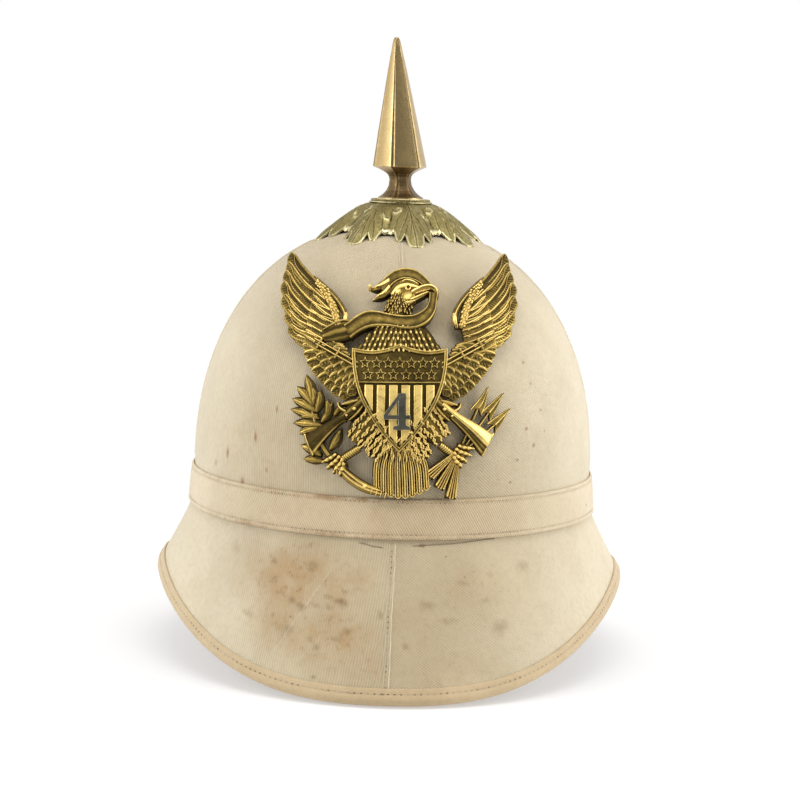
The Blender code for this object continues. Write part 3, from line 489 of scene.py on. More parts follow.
def cloth(name, light, dark, rows=(), rib_height=0.16, rib_dark=0.10, front=False, rust=(),
          holes=0.5, pale=0.62, fold=None):
    """Cotton drill. The UV map counts ribs across and threads along. rows, rust and fold are
    places across a strip in mm, which the tone of its points gives."""
    g = Graph(name)
    where = g.place()
    uv = g.split(g.node("ShaderNodeUVMap", uv_map="weave"))
    side = g.size(g.split(where)[0])
    across = g.add(uv[0], g.mul(g.noise(where, 90.0, 2.0), 0.8))
    thread = g.wave(g.add(uv[1], g.mul(across, 0.5)), 0.10, 0.90)
    weave = g.mul(g.wave(across, 0.5, 0.5), thread)
    slub = g.noise(where, 420.0, 2.0)
    # paler toward the sides, a painted side light, and the ribs fade there
    colour = g.mix(g.mul(g.cloud(where, (11.0, 4.0, 0.6), 0.35, 0.70), 0.50), light, dark)
    colour = g.mix(g.mul(g.span(side, 0.022, 0.098), pale), colour, SIDE_LIGHT_PALE)
    colour = g.mix(g.mul(g.cloud(where, (38.0, 3.0, 0.6), 0.42, 0.72), 0.20), colour, dark)
    worn = g.cloud(where, (22.0, 3.0), 0.30, 0.65, 0.55, 1.0)
    faded = g.mul(worn, g.span(side, 0.055, 0.105, 1.0, 0.35))
    # painted shade: the grooves between ribs are coloured darker, beside their bump
    groove = g.mul(g.math("SUBTRACT", 1.0, weave, clamp=True), faded)
    colour = g.mix(g.mul(groove, rib_dark * 4), colour, shade(dark, 0.50))
    colour = g.mix(g.span(slub, 0.35, 0.75, 0.0, 0.16), colour, shade(dark, 0.7))
    specks = g.cloud(where, (150.0, 2.0, 0.7), 0.72, 0.79)
    region = g.cloud(where, (9.0, 2.0), 0.45, 0.62)
    colour = g.mix(g.mul(specks, g.mul(region, 0.6)), colour, SPECK)
    height = g.mul(weave, g.mul(faded, rib_height * MM))
    height = g.add(height, g.mul(slub, 0.05 * MM))
    if front:
        colour, height = stained_front(g, where, colour, height)
    if rust:
        colour = rusty_edges(g, where, colour, rust)
    if rows:
        colour, height = stitched(g, where, colour, height, rows, holes, dark)
    # a painted highlight along the raised folded edge
    if fold:
        colour = g.mix(g.span(g.tone(), fold - 0.25, fold, 0.0, 0.50), colour, FOLD_HIGHLIGHT)
    g.bump(height)
    g.finish(Sheen_Weight=0.22, Sheen_Roughness=0.45, Specular_IOR_Level=0.18)
    return g.finish(Base_Color=colour, Roughness=g.span(weave, 0.0, 1.0, 0.96, 0.88))


def metal(name, bright, mid, dark, gloss, dull, grain, patina, fine=900.0, highlight_matt=0.0):
    """Old metal: dark in its hollows, with patina and painted shade, and bright on its raised parts, a
    painted highlight. The tone of a point says which. The last argument is how far the brightest
    parts, the painted highlights, scatter light as a matt surface does."""
    g = Graph(name)
    where = g.place()
    patches = g.mul(g.sub(g.noise(where, 60.0, 4.0, 0.65), 0.5), patina)
    tone = g.add(g.add(g.tone(), patches), g.mul(g.sub(g.noise(where, 420.0, 3.0, 0.6), 0.5), 0.40))
    # dark to bright by tone: patina and painted shade in the hollows, painted highlights on the raised parts
    colour = g.mix(g.span(tone, 0.10, 0.55), dark, mid)
    colour = g.mix(g.span(tone, 0.52, 0.98), colour, bright)
    g.bump(g.mul(g.noise(where, fine, 2.0, 0.6), grain * MM))
    # the painted highlights lose some metal shine, so that they stay bright from every side
    shine = g.span(tone, 0.60, 1.0, 1.0, 1.0 - highlight_matt) if highlight_matt else 1.0
    return g.finish(Base_Color=colour, Roughness=g.span(tone, 0.15, 0.85, dull, gloss), Metallic=shine)


def pressed_cork():
    """The bare inside of the body: pressed cork granules under old size."""
    g = Graph("cork_inside")
    where = g.place()
    cells = g.node("ShaderNodeTexVoronoi", where, None, 230.0)
    colour = g.mix(g.span(cells, 0.15, 0.65), (0.30, 0.19, 0.11), (0.46, 0.33, 0.21))
    old = g.cloud(where, (25.0, 4.0, 0.6), 0.40, 0.75, 0.0, 0.6)
    g.bump(g.mul(cells, 0.25 * MM))
    return g.finish(Base_Color=g.mix(old, colour, (0.25, 0.16, 0.10)), Roughness=0.92)


DRILL = cloth("drill_cloth", CLOTH_LIGHT, CLOTH_DARK, front=True)
BAND = cloth("band_drill", TRIM_LIGHT, TRIM_DARK, rows=(2.2, 16.9), rib_dark=0.16,
             rust=((15.4, 17.6), (3.4, 0.8)), holes=0.45)
BINDING = cloth("binding_drill", BINDING_LIGHT, BINDING_DARK, rows=(3.0,), rib_dark=0.05,
                rib_height=0.05, holes=0.8, pale=0.12)
SEAM = cloth("seam_drill", CLOTH_LIGHT, CLOTH_DARK, rows=(1.6,), rib_dark=0.11, holes=0.75, fold=3.1)
THREAD = cloth("sewing_thread", THREAD_LIGHT, THREAD_DARK, rib_height=0.03)
GREY_THREAD = cloth("loose_thread", GREY_LIGHT, GREY_DARK, rib_height=0.03, pale=0.1)
CORK = pressed_cork()
LEAF_BRASS = metal(
    "leaf_metal", (0.74, 0.66, 0.38), (0.300, 0.245, 0.095), (0.070, 0.058, 0.022), 0.34, 0.60,
    grain=0.08, patina=0.48, fine=1100.0,
)
SPIKE_BRASS = metal(
    "spike_metal", (0.88, 0.68, 0.36), (0.49, 0.355, 0.160), (0.13, 0.085, 0.04), 0.22, 0.45,
    grain=0.008, patina=0.35, fine=700.0,
)
PLATE_BRASS = metal(
    "plate_metal", (1.0, 0.72, 0.225), (0.33, 0.225, 0.055), (0.062, 0.043, 0.013), 0.27, 0.55,
    grain=0.02, patina=0.42, highlight_matt=0.55,
)
WHITE_METAL = metal(
    "numeral_metal", (0.72, 0.69, 0.57), (0.182, 0.176, 0.136), (0.070, 0.069, 0.052), 0.34, 0.55,
    grain=0.02, patina=0.3,
)


# The cloth shell

# The grain of each quarter of cloth: its lean in degrees and the pitch of its ribs
GRAINS = ((49.0, 1.12 * MM), (38.0, 1.10 * MM), (4.0, 1.25 * MM), (4.0, 1.25 * MM))


def twill(u, v, degrees, pitch):
    """Rib count across and thread count along, for cloth lengths u and v in metres."""
    c, s = math.cos(math.radians(degrees)), math.sin(math.radians(degrees))
    across, along = u * c + v * s, -u * s + v * c
    return np.stack([across / pitch, along / (pitch * 0.8)], -1)


def shell_inside(a, places):
    """The smooth hollow, from the vent at the top down to the rim."""
    n = normal(a[None], places[:, None], keep_side=False)
    inner = surface(a[None], places[:, None]) - n * WALL + SETTLE
    radius = np.linalg.norm(inner[0, :, :2] - SETTLE[:2], axis=-1, keepdims=True)
    inner[0, :, :2] = (inner[0, :, :2] - SETTLE[:2]) * VENT_R / radius + SETTLE[:2]
    return inner


def shell_edge(a):
    """The rounded edge of the wall at the rim."""
    back = unit(surface(a, -1.0) - surface(a, -0.9))[None]
    turn = np.array([0.25, 0.5, 0.75])[:, None, None] * np.pi
    edge = surface(a, -1.0)[None] - normal(a[None], np.full((3, 1), -1.0)) * WALL / 2 * (1 - np.cos(turn))
    return edge + SETTLE + back * 0.0002 * np.sin(turn)


def build_shell():
    quarter = 64
    cols = 4 * quarter
    a = around(cols)
    brim_rows = -np.linspace(1.0, 0.02, 50)
    foot_rows = place_of(np.linspace(FOOT_Z, BASE_Z, 5))
    turns = np.linspace(0.0, np.pi / 2, 82)[1:]
    dome_rows = place_of(crown_height(VENT_R + (CROWN_W - VENT_R) * np.cos(turns)))
    places = np.concatenate([brim_rows, foot_rows, dome_rows])
    outer = on_shell(a[None], places[:, None])
    left, right = np.zeros((2, len(places), cols, 2))
    run = lengths(outer, 0)
    run = run - run[len(brim_rows)][None]
    for q, grain in enumerate(GRAINS):
        take = np.arange(q * quarter, (q + 1) * quarter + 1) % cols
        wide = lengths(outer[:, take], 1)
        uv = twill(wide - wide[:, quarter // 2][:, None], run[:, take], *grain)
        left[:, take[:-1]] = uv[:, :-1]
        right[:, take[:-1]] = uv[:, 1:]
    pile = Pile()
    pile.grid(outer, wrap=True, uv_pair=(left, right))
    inner = shell_inside(a, np.concatenate([places[:-1:3], [places[-1]]])[::-1])
    pile.grid(np.concatenate([outer[-1:], inner]), wrap=True, kind=1)
    pile.grid(np.concatenate([inner[-1:], shell_edge(a)[::-1], outer[:1]]), wrap=True, kind=1)
    pile.make("drill_shell", [DRILL, CORK], "drill_cloth", ["shell"], weld=1e-6, sharp=40)


# Band, binding, stitches and seams

# The band's section: way across and height above the cloth, in mm, over its face and back beneath
BAND_SECTION = (
    (0.0, 0.30), (0.0, 0.8), (0.15, 1.25), (0.5, 1.62), (1.0, 1.70), (1.6, 1.55), (2.2, 1.28), (2.8, 1.48),
    (3.6, 1.60), (5, 1.62), (7, 1.60), (9, 1.58), (11, 1.58), (13, 1.56), (14.4, 1.50), (15.2, 1.42),
    (15.9, 1.20), (16.6, 1.36), (17.3, 1.40), (18.0, 1.30), (18.4, 1.05), (18.6, 0.7), (18.6, 0.35),
    (18.4, 0.30), (12.0, 0.30), (6.0, 0.30), (0.3, 0.30),
)
# The binding's section, from its inner edge outside the brim, over the rim and back inside it: way
# in from the rim and height above the cloth, in mm
BINDING_SECTION = (
    (6.2, 0.05), (6.2, 0.45), (6.1, 0.70), (5.8, 0.86), (5.2, 0.98), (4.4, 1.04), (3.7, 1.00), (3.2, 0.94),
    (2.7, 1.02), (2.2, 1.16), (1.6, 1.20), (1.0, 1.15), (0.2, 0.85), (-0.5, 0.20), (-0.9, -0.8),
    (-1.0, -2.0), (-0.9, -3.2), (-0.5, -4.2), (0.2, -4.85), (1.5, -5.15), (4.0, -5.2), (7.0, -5.15),
    (7.9, -4.9), (8.0, -4.35), (4.0, -4.3), (-0.25, -4.1), (-0.3, -2.0), (-0.25, 0.1), (3.0, 0.05),
)
BINDING_WIDTH = 6.2
# Rows of stitches: way across the band, way in from the rim, and each one's height, in mm
BAND_ROWS = ((2.2, 1.36), (16.9, 1.30))
BINDING_ROW = (3.2, 0.90)
SEAM_PROFILE = (
    (-3.40, 0.02), (-3.30, 0.10), (-2.9, 0.26), (-2.4, 0.36), (-2.0, 0.34), (-1.8, 0.28), (-1.6, 0.36),
    (-1.1, 0.48), (-0.6, 0.60), (-0.3, 0.66), (-0.08, 0.56), (0.0, 0.34), (0.02, 0.02),
)
SEAM_STITCHES = (-1.8, 0.28)
# Loose threads on the visor: start and end, across and up, in mm
LOOSE_THREADS = (((-13.8, 68.7), (-3.0, 66.9)), ((10.9, 68.0), (49.0, 70.2)))


def uneven(a, waves):
    """Slow waves along a strip, in mm: size, count round the helmet and shift."""
    return sum(size * np.sin(a * count + shift) for size, count, shift in waves)


def strip_round(name, finish, node, cols, section, weave, pitch=2.2 * MM, flip=False):
    """A strip of cloth right round the helmet, and its count of stitches. section gives, for
    angles, rows of points and their ways across in mm."""
    p, ways = section(around(cols))
    guide = p[len(p) // 3]
    run = run_along(np.concatenate([guide, guide[:1]]))
    total = round(run[-1] / pitch)
    steps = run / run[-1] * total
    ways = np.repeat(np.asarray(ways)[:, None], cols, 1)
    sides = [twill(u * pitch + 0 * ways, ways * MM, *weave) for u in (steps[:-1], steps[1:])]
    pile = Pile()
    pile.grid(p, wrap=True, loop=True, tone=ways, uv_pair=sides, flip=flip)
    obj = pile.make(name, [finish], "drill_trim", [node])
    point_values(obj.data, "stitch", np.broadcast_to(steps[:-1], ways.shape))
    return total


def band_section(a):
    """A folded band, its lower edge standing proud, with a sunk line along each row of stitches."""
    across, lift = np.array(BAND_SECTION, float).T
    wave = uneven(a, ((0.10, 7, 1), (0.08, 17, 2), (0.05, 41, 0)))
    height = lift[:, None] * MM + wave[None] * MM * np.clip(lift - 0.3, 0, 1)[:, None]
    return on_shell(a[None], place_of(FOOT_Z + GAP + across * MM)[:, None], height), across


def rim_frame(a):
    """The rim's point, its direction in along the brim, and outward."""
    at = surface(a, -1.0)
    return at, unit(surface(a, -0.8) - at), normal(a, -1.0)


def binding_section(a):
    """A strip folded round the rim, rounded over the edge."""
    at, back, n = rim_frame(a)
    wave = uneven(a, ((0.10, 9, 0), (0.08, 23, 2), (0.05, 57, 0)))
    rows, ways = [], []
    for x, y in BINDING_SECTION:
        rows.append(at + back * (x * MM) + n * ((y + (wave if y > 0.5 else 0 * wave)) * MM)[:, None])
        ways.append(BINDING_WIDTH - x if y > -2.0 else BINDING_WIDTH + x)
    return np.stack(rows) + SETTLE, ways


def stitch_row(pile, line, ways, up, size, step=0.002):
    """A row of short threads at ways along a line, which a function gives. size is the length,
    width and height of one in metres."""
    long, wide, high = size
    centre = line(ways)
    along = unit(line(ways + step) - centre)
    side = unit(np.cross(up, along))
    t = np.linspace(-1, 1, 6)
    r = np.sqrt(1 - (t * 0.985) ** 2)[:, None, None]
    turn = np.linspace(0, np.pi, 5)
    out, over = np.cos(turn)[None, :, None] * wide / 2, np.sin(turn)[None, :, None] * high
    uv = np.stack(np.meshgrid(turn, t * 2), -1)
    for c, f, s, n in zip(centre, along, side, up):
        ring = c + f * (t[:, None, None] * long / 2) + s * (out * r) + n * (over * r - 0.00005)
        pile.grid(ring, uv=uv)


CORD_SIDES = 6


def cord(pile, p, radius):
    """A thin round thread along points."""
    run = unit(np.gradient(p, axis=0))
    side = unit(np.cross(run, [0.0, 0.3, 1.0]))
    up = np.cross(side, run)
    turn = around(CORD_SIDES)[None, :, None]
    ring = p[:, None] + radius * (side[:, None] * np.cos(turn) + up[:, None] * np.sin(turn))
    pile.grid(ring, wrap=True)
    pile.cap(ring[0][::-1])
    pile.cap(ring[-1])


def round_stitches(pile, line, total, up, size, even=None):
    """A whole number of stitches round the helmet, evenly along their own line or along the
    line that even gives."""
    fine = np.linspace(0, TAU, 3001)
    run = run_along((even or line)(fine))
    ways = np.interp(np.arange(total) / total * run[-1], run, fine)
    stitch_row(pile, line, ways, up(ways), size)


def build_band():
    total = strip_round("band_cloth", BAND, "hat_band", 448, band_section, (31.0, 1.05 * MM))
    pile = Pile()
    for way, lift in BAND_ROWS:
        place = place_of(FOOT_Z + GAP + way * MM)
        round_stitches(pile, lambda a: on_shell(a, place, lift * MM), total, lambda a: normal(a, place),
                       (1.45 * MM, 0.42 * MM, 0.20 * MM))
    pile.make("band_stitches", [THREAD], "drill_trim")


def build_binding():
    total = strip_round("binding_cloth", BINDING, "rim_binding", 512, binding_section,
                        (58.0, 0.95 * MM), 3.0 * MM, flip=True)

    def line(a):
        at, back, n = rim_frame(a)
        return at + (back * BINDING_ROW[0] + n * BINDING_ROW[1]) * MM + SETTLE

    pile = Pile()
    round_stitches(pile, line, total, lambda a: normal(a, -1.0), (1.9 * MM, 0.40 * MM, 0.20 * MM),
                   even=lambda a: surface(a, -1.0))
    pile.make("binding_stitches", [THREAD], "drill_trim")


def build_loose_threads():
    """Threads that lie across the visor below the band."""
    pile = Pile()
    for start, end in LOOSE_THREADS:
        t = np.linspace(0, 1, 40)
        x, z = start[0] + (end[0] - start[0]) * t, start[1] + (end[1] - start[1]) * t
        z = z + 0.12 * np.sin(t * 9)
        below = (FOOT_Z / MM - z) / ((FOOT_Z - RIM_Z) / MM)
        cord(pile, on_shell(np.arcsin(x / 101.0), -below, 0.20 * MM), 0.20 * MM)
    pile.make("loose_threads", [GREY_THREAD], "drill_trim")


def build_seam(node, angle, low, high, rows, size=1.0):
    """A lapped seam: a strip with one folded edge and a row of stitches beside it. angle may
    change along it."""
    places = np.linspace(low, high, rows)
    angle = np.linspace(*angle, rows) if isinstance(angle, tuple) else np.full(rows, angle)
    reach = np.linalg.norm(surface(angle + 0.01, places) - surface(angle, places), axis=-1) / 0.01
    x, h = np.array(SEAM_PROFILE).T * MM
    x = x * size
    sway = uneven(np.linspace(0, 1, rows), ((0.14, 9, 0), (0.07, 47, 0))) * MM
    a = angle[:, None] + (x[None] + sway[:, None]) / reach[:, None]
    p_flat = on_shell(a, places[:, None], 0.02 * MM)
    end = np.minimum(np.arange(rows), np.arange(rows)[::-1])
    p = p_flat + (on_shell(a, places[:, None], h[None]) - p_flat) * np.clip(end / 2, 0, 1)[:, None, None]
    run = run_along(p[:, 5])
    total = max(round(run[-1] / (2.6 * MM)), 1)
    across, along = np.repeat(x[None], rows, 0), np.repeat(run[:, None], len(x), 1)
    pile = Pile()
    pile.grid(p, uv=twill(across, along, 4.0, 1.15 * MM), tone=across / MM / size + 3.4, flip=high < low)
    name = node + "_cloth"
    obj = pile.make(name, [SEAM], "drill_trim", [node])
    point_values(obj.data, "stitch", along / run[-1] * total)
    spot = np.arange(total) / total
    spot = spot[(spot > 0.03) & (spot < 0.97)]
    way, lift = SEAM_STITCHES
    at, r, turn = (np.interp(spot, run / run[-1], values) for values in (places, reach, angle))
    turn = turn + way * MM * size / r
    pile = Pile()
    stitch_row(pile, lambda place: on_shell(turn, place, lift * MM), at, normal(turn, at),
               (1.6 * MM, 0.36 * MM, 0.16 * MM), step=0.004)
    pile.make(name + "_stitches", [THREAD], "drill_trim")


def build_seams():
    band_top = place_of(FOOT_Z + 18.6 * MM + 2.5 * GAP)
    for name, turn in (("front", 0.040), ("left", math.pi / 2), ("back", math.pi), ("right", -math.pi / 2)):
        node = "crown_seam_" + name
        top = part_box(node)[1][2] - SETTLE[2] - 0.4 * MM
        build_seam(node, turn, band_top, place_of(top), 90, 0.62)
    build_seam("visor_seam", (0.030, 0.016), -0.02, -0.935, 70)
    build_seam("neck_seam", math.pi, -0.02, -0.935, 70)


# Leaf base and spike

LEAVES, LEAF_TURN = 8, math.radians(12.0)
COLLAR_R = 14.0
# Half a leaf's cut edge: degrees from its middle and mm from the axis
EDGE = (
    (0.0, 42.9), (2.6, 42.7), (4.6, 41.8), (5.9, 40.2), (6.6, 38.4), (7.1, 36.6), (7.7, 35.8), (8.3, 36.2),
    (9.3, 37.2), (10.6, 37.9), (12.2, 38.0), (13.7, 37.2), (14.8, 35.8), (15.5, 34.0), (16.2, 32.5),
    (17.2, 31.6), (18.6, 31.8), (20.0, 31.6), (21.3, 31.2), (22.5, 31.1),
)
SOFT_EDGE = ((0, 3.6, 10.35, 16.2, 22.5), (42.0, 41.4, 37.9, 33.6, 31.0))
# Lines of half a leaf in mm, from the axis outward, with a width and its share at each end
VEINS = (
    (((2.6, 30.6), (3.9, 33.6), (5.1, 37.0)), 0.34, (0.3, 1.0)),
    (((3.0, 21.0), (6.6, 25.2), (9.0, 29.6), (10.2, 33.4)), 0.36, (0.4, 1.0)),
    (((0.6, 22.0), (2.6, 27.2), (5.8, 31.6), (8.2, 36.2)), 0.24, (1.0, 0.6)),
    (((0.5, 29.0), (1.2, 33.0), (3.0, 38.6)), 0.20, (1.0, 0.6)),
)
CURLS = (
    (((-8.2, 19.5), (-6.4, 21.8), (-4.2, 21.4), (-3.8, 19.4), (-5.2, 18.6)), 0.70, (1.0, 0.9)),
    (((5.4, 23.6), (7.4, 24.8), (9.2, 23.6), (8.8, 21.8)), 0.75, (1.0, 0.9)),
)
# Rings round the collar in mm: radius, thickness, height above the collar, tone
COLLAR_RINGS = ((11.2, 0.60, 0.30, 1.0), (13.5, 0.45, 0.05, 0.62), (15.3, 0.50, -1.15, 0.85))
BEADS, BEAD_LINE, BEAD_R = 72, 14.2, 0.56


def curve_gap(x, y, line):
    """Distance from points to a polyline, and the share along it."""
    best, share = np.full(np.shape(x), 1e9), np.zeros(np.shape(x))
    line = np.asarray(line, float)
    for i, (p, q) in enumerate(zip(line, line[1:])):
        d = q - p
        t = np.clip(((x - p[0]) * d[0] + (y - p[1]) * d[1]) / (d @ d), 0, 1)
        gap = np.hypot(x - p[0] - t * d[0], y - p[1] - t * d[1])
        share = np.where(gap < best, (i + t) / (len(line) - 1), share)
        best = np.minimum(best, gap)
    return best, share


def ridge(x, y, line, wide, ends):
    gap, share = curve_gap(x, y, line)
    return bell(gap, wide * (ends[0] + (ends[1] - ends[0]) * share))


def leaf_relief(x, y, r, degrees):
    """The height in mm and the tone of a leaf's chasing, and how far it has faded in from the
    collar. x is across the leaf and y along it."""
    side = np.abs(x)
    inner = smooth(r, 14.2, 17.5)
    # the true distance to the cut edge, so that its bright bead keeps one width round every lobe
    fine = np.linspace(0, 22.5, 70)
    out, turn = np.interp(fine, *np.array(EDGE).T), np.radians(fine)
    gap, _ = curve_gap(side, y, np.stack([out * np.sin(turn), out * np.cos(turn)], -1))
    groove, raised_line = bell(side, 0.26) * 0.8, bell(side - 0.60, 0.28) * 0.9
    for line, wide, ends in VEINS:
        groove = groove + ridge(side, y, line, wide, ends)
        raised_line = raised_line + ridge(side, y, np.array(line) + (0.55, 0.20), wide * 0.9, ends)
    groove, raised_line = np.clip(groove, 0, 1), np.clip(raised_line, 0, 1)
    curl = sum(ridge(x, y, *row) for row in CURLS)
    valley = smooth(degrees + 0 * r, 15.4, 17.6) * bell(gap - 0.9, 0.80)
    lip = bell(gap - 0.34, 0.34)
    lobe_bow = bell(np.hypot(side, (y - 38.6) * 0.8), 2.9)
    side_bow = bell(np.hypot(side - 7.5, y - 35.6), 2.3)
    seam = bell((22.5 - degrees) * np.pi / 180 * r, 0.6) * smooth(gap, 1.8, 3.2) * smooth(r, 17.0, 21.0)
    stipple = np.sin(x * 6.3 + np.sin(y * 2.1) * 2) * np.sin(y * 6.9 + np.sin(x * 2.7) * 2)
    stipple = stipple * (1 - np.clip(groove + raised_line + curl + valley + lip, 0, 1))
    lift = (
        -0.30 * groove + 0.30 * raised_line + 0.70 * curl + 0.70 * valley + 0.26 * lip
        + 0.55 * lobe_bow + 0.50 * side_bow - 0.35 * seam + 0.11 * stipple * inner
    )
    # tone: painted highlights on the raised lines, curls, scrolls and the edge's bead; painted shade in the
    # grooves, in the sunk seams between leaves and in the dip beside the collar
    tone = (
        0.50 + 0.06 * lobe_bow - 0.32 * groove + 0.20 * raised_line + 0.32 * curl + 0.24 * valley
        + 0.40 * lip + 0.17 * stipple - 0.30 * seam - 0.30 * bell(r - 15.2, 0.7)
    )
    return lift * inner, np.where(inner < 0.02, 0.35, tone)


def leaf_top(phi, rows):
    """The leaves' upper side in mm, and its tones."""
    off = (phi + np.pi / LEAVES) % (TAU / LEAVES) - np.pi / LEAVES
    degrees = np.abs(np.degrees(off))
    edge = np.interp(degrees, *np.array(EDGE).T)
    soft = np.interp(degrees, *SOFT_EDGE)
    soft = np.convolve(np.concatenate([soft[-12:], soft, soft[:12]]), np.ones(25) / 25, "valid")
    a = phi + LEAF_TURN
    stretch_y = 1 + 0.07 * np.maximum(np.cos(a), 0.0)
    foot = (crown_under(soft * MM * np.sin(a), -soft * stretch_y * MM * np.cos(a)) + 1.1 * MM) / MM
    t = np.linspace(0, 1, rows)[:, None] ** 0.92
    r = COLLAR_R + (edge[None] - COLLAR_R) * t
    share = np.clip((r - COLLAR_R) / (soft[None] - COLLAR_R), 0, 1.05)
    z = COLLAR_Z / MM + (foot[None] - COLLAR_Z / MM) * share**1.35
    z = z - 1.5 * smooth(r, 14.1, 15.3) * (1 - 0.8 * np.clip(share, 0, 1))
    lift, tone = leaf_relief(r * np.sin(off)[None], r * np.cos(off)[None], r, degrees[None])
    bow = 0.5 * np.cos(degrees / 22.5 * np.pi / 2)[None] * np.sin(np.pi * np.clip(share, 0, 1))
    top = ring_at(a, r, z + lift + bow)
    top[..., 1] *= stretch_y
    return top, tone


def add_collar(pile):
    """Beads round the collar between two thin rings, and a bright washer under the spike."""
    lat, lon = np.linspace(0.05, np.pi - 0.05, 7)[:, None], around(10)
    ball = [np.sin(lat) * np.cos(lon), np.sin(lat) * np.sin(lon), np.cos(lat) + 0 * lon]
    ball = BEAD_R * np.stack(ball, -1)
    for b in around(BEADS):
        centre = ring_at(b, BEAD_LINE, COLLAR_Z / MM - 0.25)
        pile.grid((centre + ball) * MM + SETTLE, wrap=True, tone=0.58, flip=True)
    turn = around(12)[:, None]
    for radius, thick, up, shine in COLLAR_RINGS:
        height = COLLAR_Z / MM + up + thick * 0.7 * np.sin(turn)
        ring = ring_at(around(96), radius + thick * np.cos(turn), height)
        pile.grid(ring * MM + SETTLE, wrap=True, loop=True, tone=shine)


def build_leaf_base():
    phi, rows = around(96 * LEAVES), 56
    top, tone = leaf_top(phi, rows)
    under = top[::-3] - (0.0, 0.0, 0.8)
    under[0] = top[-1] * (0.997, 0.997, 1) - (0, 0, 0.65)
    hole = ring_at(phi + LEAF_TURN, POST_R, COLLAR_Z / MM)
    whole = np.concatenate([hole[None], top, under, hole[None] - (0, 0, 1.0)])
    plain = np.ones((1, len(phi)))
    # the cut edge is painted bright as a highlight, and the underside darker as painted shade
    tones = np.concatenate([0.4 * plain, tone, 0.85 * plain] + [0.30 * plain] * len(under))
    pile = Pile()
    pile.grid(whole * MM + SETTLE, wrap=True, loop=True, tone=tones, flip=True)
    add_collar(pile)
    pile.make("leaf_base_detail", [LEAF_BRASS], "leaf_brass", ["leaf_base"], sharp=60)


SPIKE_FACES, SPIKE_R, SPIKE_HIGH, SOCKET = 6, 14.0, 79.4, 12.0
SPIKE_TURN, SPIKE_LEAN = math.radians(-15), math.tan(math.radians(3.2))
# Share of the height, share of the radius and how far the faces are parted by grooves
SPIKE_ROWS = (
    (0.000, 0.780, 0.0), (0.002, 0.800, 0.0), (0.010, 0.800, 0.0), (0.013, 0.775, 0.0),
    (0.020, 0.715, 0.15), (0.035, 0.620, 0.4), (0.055, 0.520, 0.5), (0.085, 0.430, 0.5),
    (0.120, 0.400, 0.5), (0.140, 0.420, 0.5), (0.158, 0.490, 0.5), (0.172, 0.620, 0.5),
    (0.184, 0.760, 0.6), (0.194, 0.900, 0.8), (0.200, 0.985, 0.9), (0.205, 1.000, 1.0),
    (0.212, 0.992, 1.0), (0.400, 0.792, 1.0), (0.600, 0.572, 1.0), (0.800, 0.350, 0.9),
    (0.970, 0.145, 0.6), (0.990, 0.105, 0.3), (1.000, 0.060, 0.0),
)


def build_spike():
    levels, sizes, flutes = np.array(SPIKE_ROWS).T
    between = [np.linspace(low, high, 6)[:-1] for low, high in zip(levels, levels[1:])]
    heights = np.unique(np.concatenate(between + [[1.0]]))[:, None]
    per = 28
    i = np.arange(per * SPIKE_FACES)
    share = (i % per) / per
    half = np.pi / SPIKE_FACES
    flat = np.cos(half) / np.cos((share * 2 - 1) * half)
    angle = SPIKE_TURN + TAU * i / len(i)
    flute = np.interp(heights, levels, flutes)
    # each facet swells a little, and a narrow groove parts it from the next
    groove = np.clip(bell(share, 0.040) + bell(share - 1, 0.040), 0, 1)
    hollow = 1 + flute * (0.030 * np.sin(np.pi * share) - 0.060 * groove)
    faceted = np.minimum(1.0, flute * 2)
    radius = np.interp(heights, levels, sizes) * SPIKE_R * (1 + (flat * hollow - 1) * faceted)
    rise = heights * SPIKE_HIGH
    p = ring_at(angle, radius, COLLAR_Z / MM + 0.3 + rise)
    p[..., 0] -= rise * SPIKE_LEAN
    # painted highlights beside the grooves and on the bands; painted shade in the grooves and on the narrow
    # neck below the swell; darker toward the tip
    beside = np.clip(bell(share - 0.13, 0.05) + bell(share - 0.87, 0.05), 0, 1)
    band = 0.3 * bell(heights - 0.205, 0.006) + bell(heights - 0.006, 0.007)
    tone = 0.56 + 0.16 * beside - 0.52 * groove * faceted + 0.35 * band
    tone = tone - 0.40 * smooth(0.2 - heights, 0.0, 0.06) - 0.30 * smooth(heights, 0.93, 0.99)
    foot = ring_at(angle, POST_R, COLLAR_Z / MM + 0.3)
    p, foot = p * MM + SETTLE, foot * MM + SETTLE
    pile = Pile()
    pile.grid(np.concatenate([foot[None], p]), wrap=True, tone=np.concatenate([tone[:1], tone]))
    pile.cap(p[-1], tone=0.9)
    roof = foot + (0, 0, SOCKET * MM)
    pile.grid(np.stack([roof, foot]), wrap=True, tone=0.2)
    pile.cap(roof, tone=0.2, flip=True)
    pile.make("spike_detail", [SPIKE_BRASS], "spike_brass", ["spike"], weld=2e-6, sharp=24)


def repaint(node, finish):
    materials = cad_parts[node].data.materials
    materials.clear()
    materials.append(finish)


build_shell()
build_band()
build_binding()
build_loose_threads()
build_seams()
build_leaf_base()
build_spike()
repaint("spike_post", SPIKE_BRASS)


# Eagle plate: drawn flat in mm, then bent on to the crown

EAGLE_Z, EAGLE_X, EAGLE_TURN = 0.1360, 0.0024, math.radians(1.3)
STAND_OFF, BEND_RISE = 0.0030, RISE + 0.0085
PLATE_WIDE, PLATE_DOWN = 0.958, 1.3
NUMERAL_FOOT, NUMERAL_OUT = -14.5, 4.5
BACK = 0.35


def plate_front(x, z):
    rise = np.minimum(np.abs(z - BASE_Z) / BEND_RISE, 0.98)
    side = np.minimum(np.abs(x) / (CROWN_W + STAND_OFF), 0.98)
    return -(CROWN_L + STAND_OFF) * np.sqrt(1 - rise**2) * np.sqrt(1 - side**2)


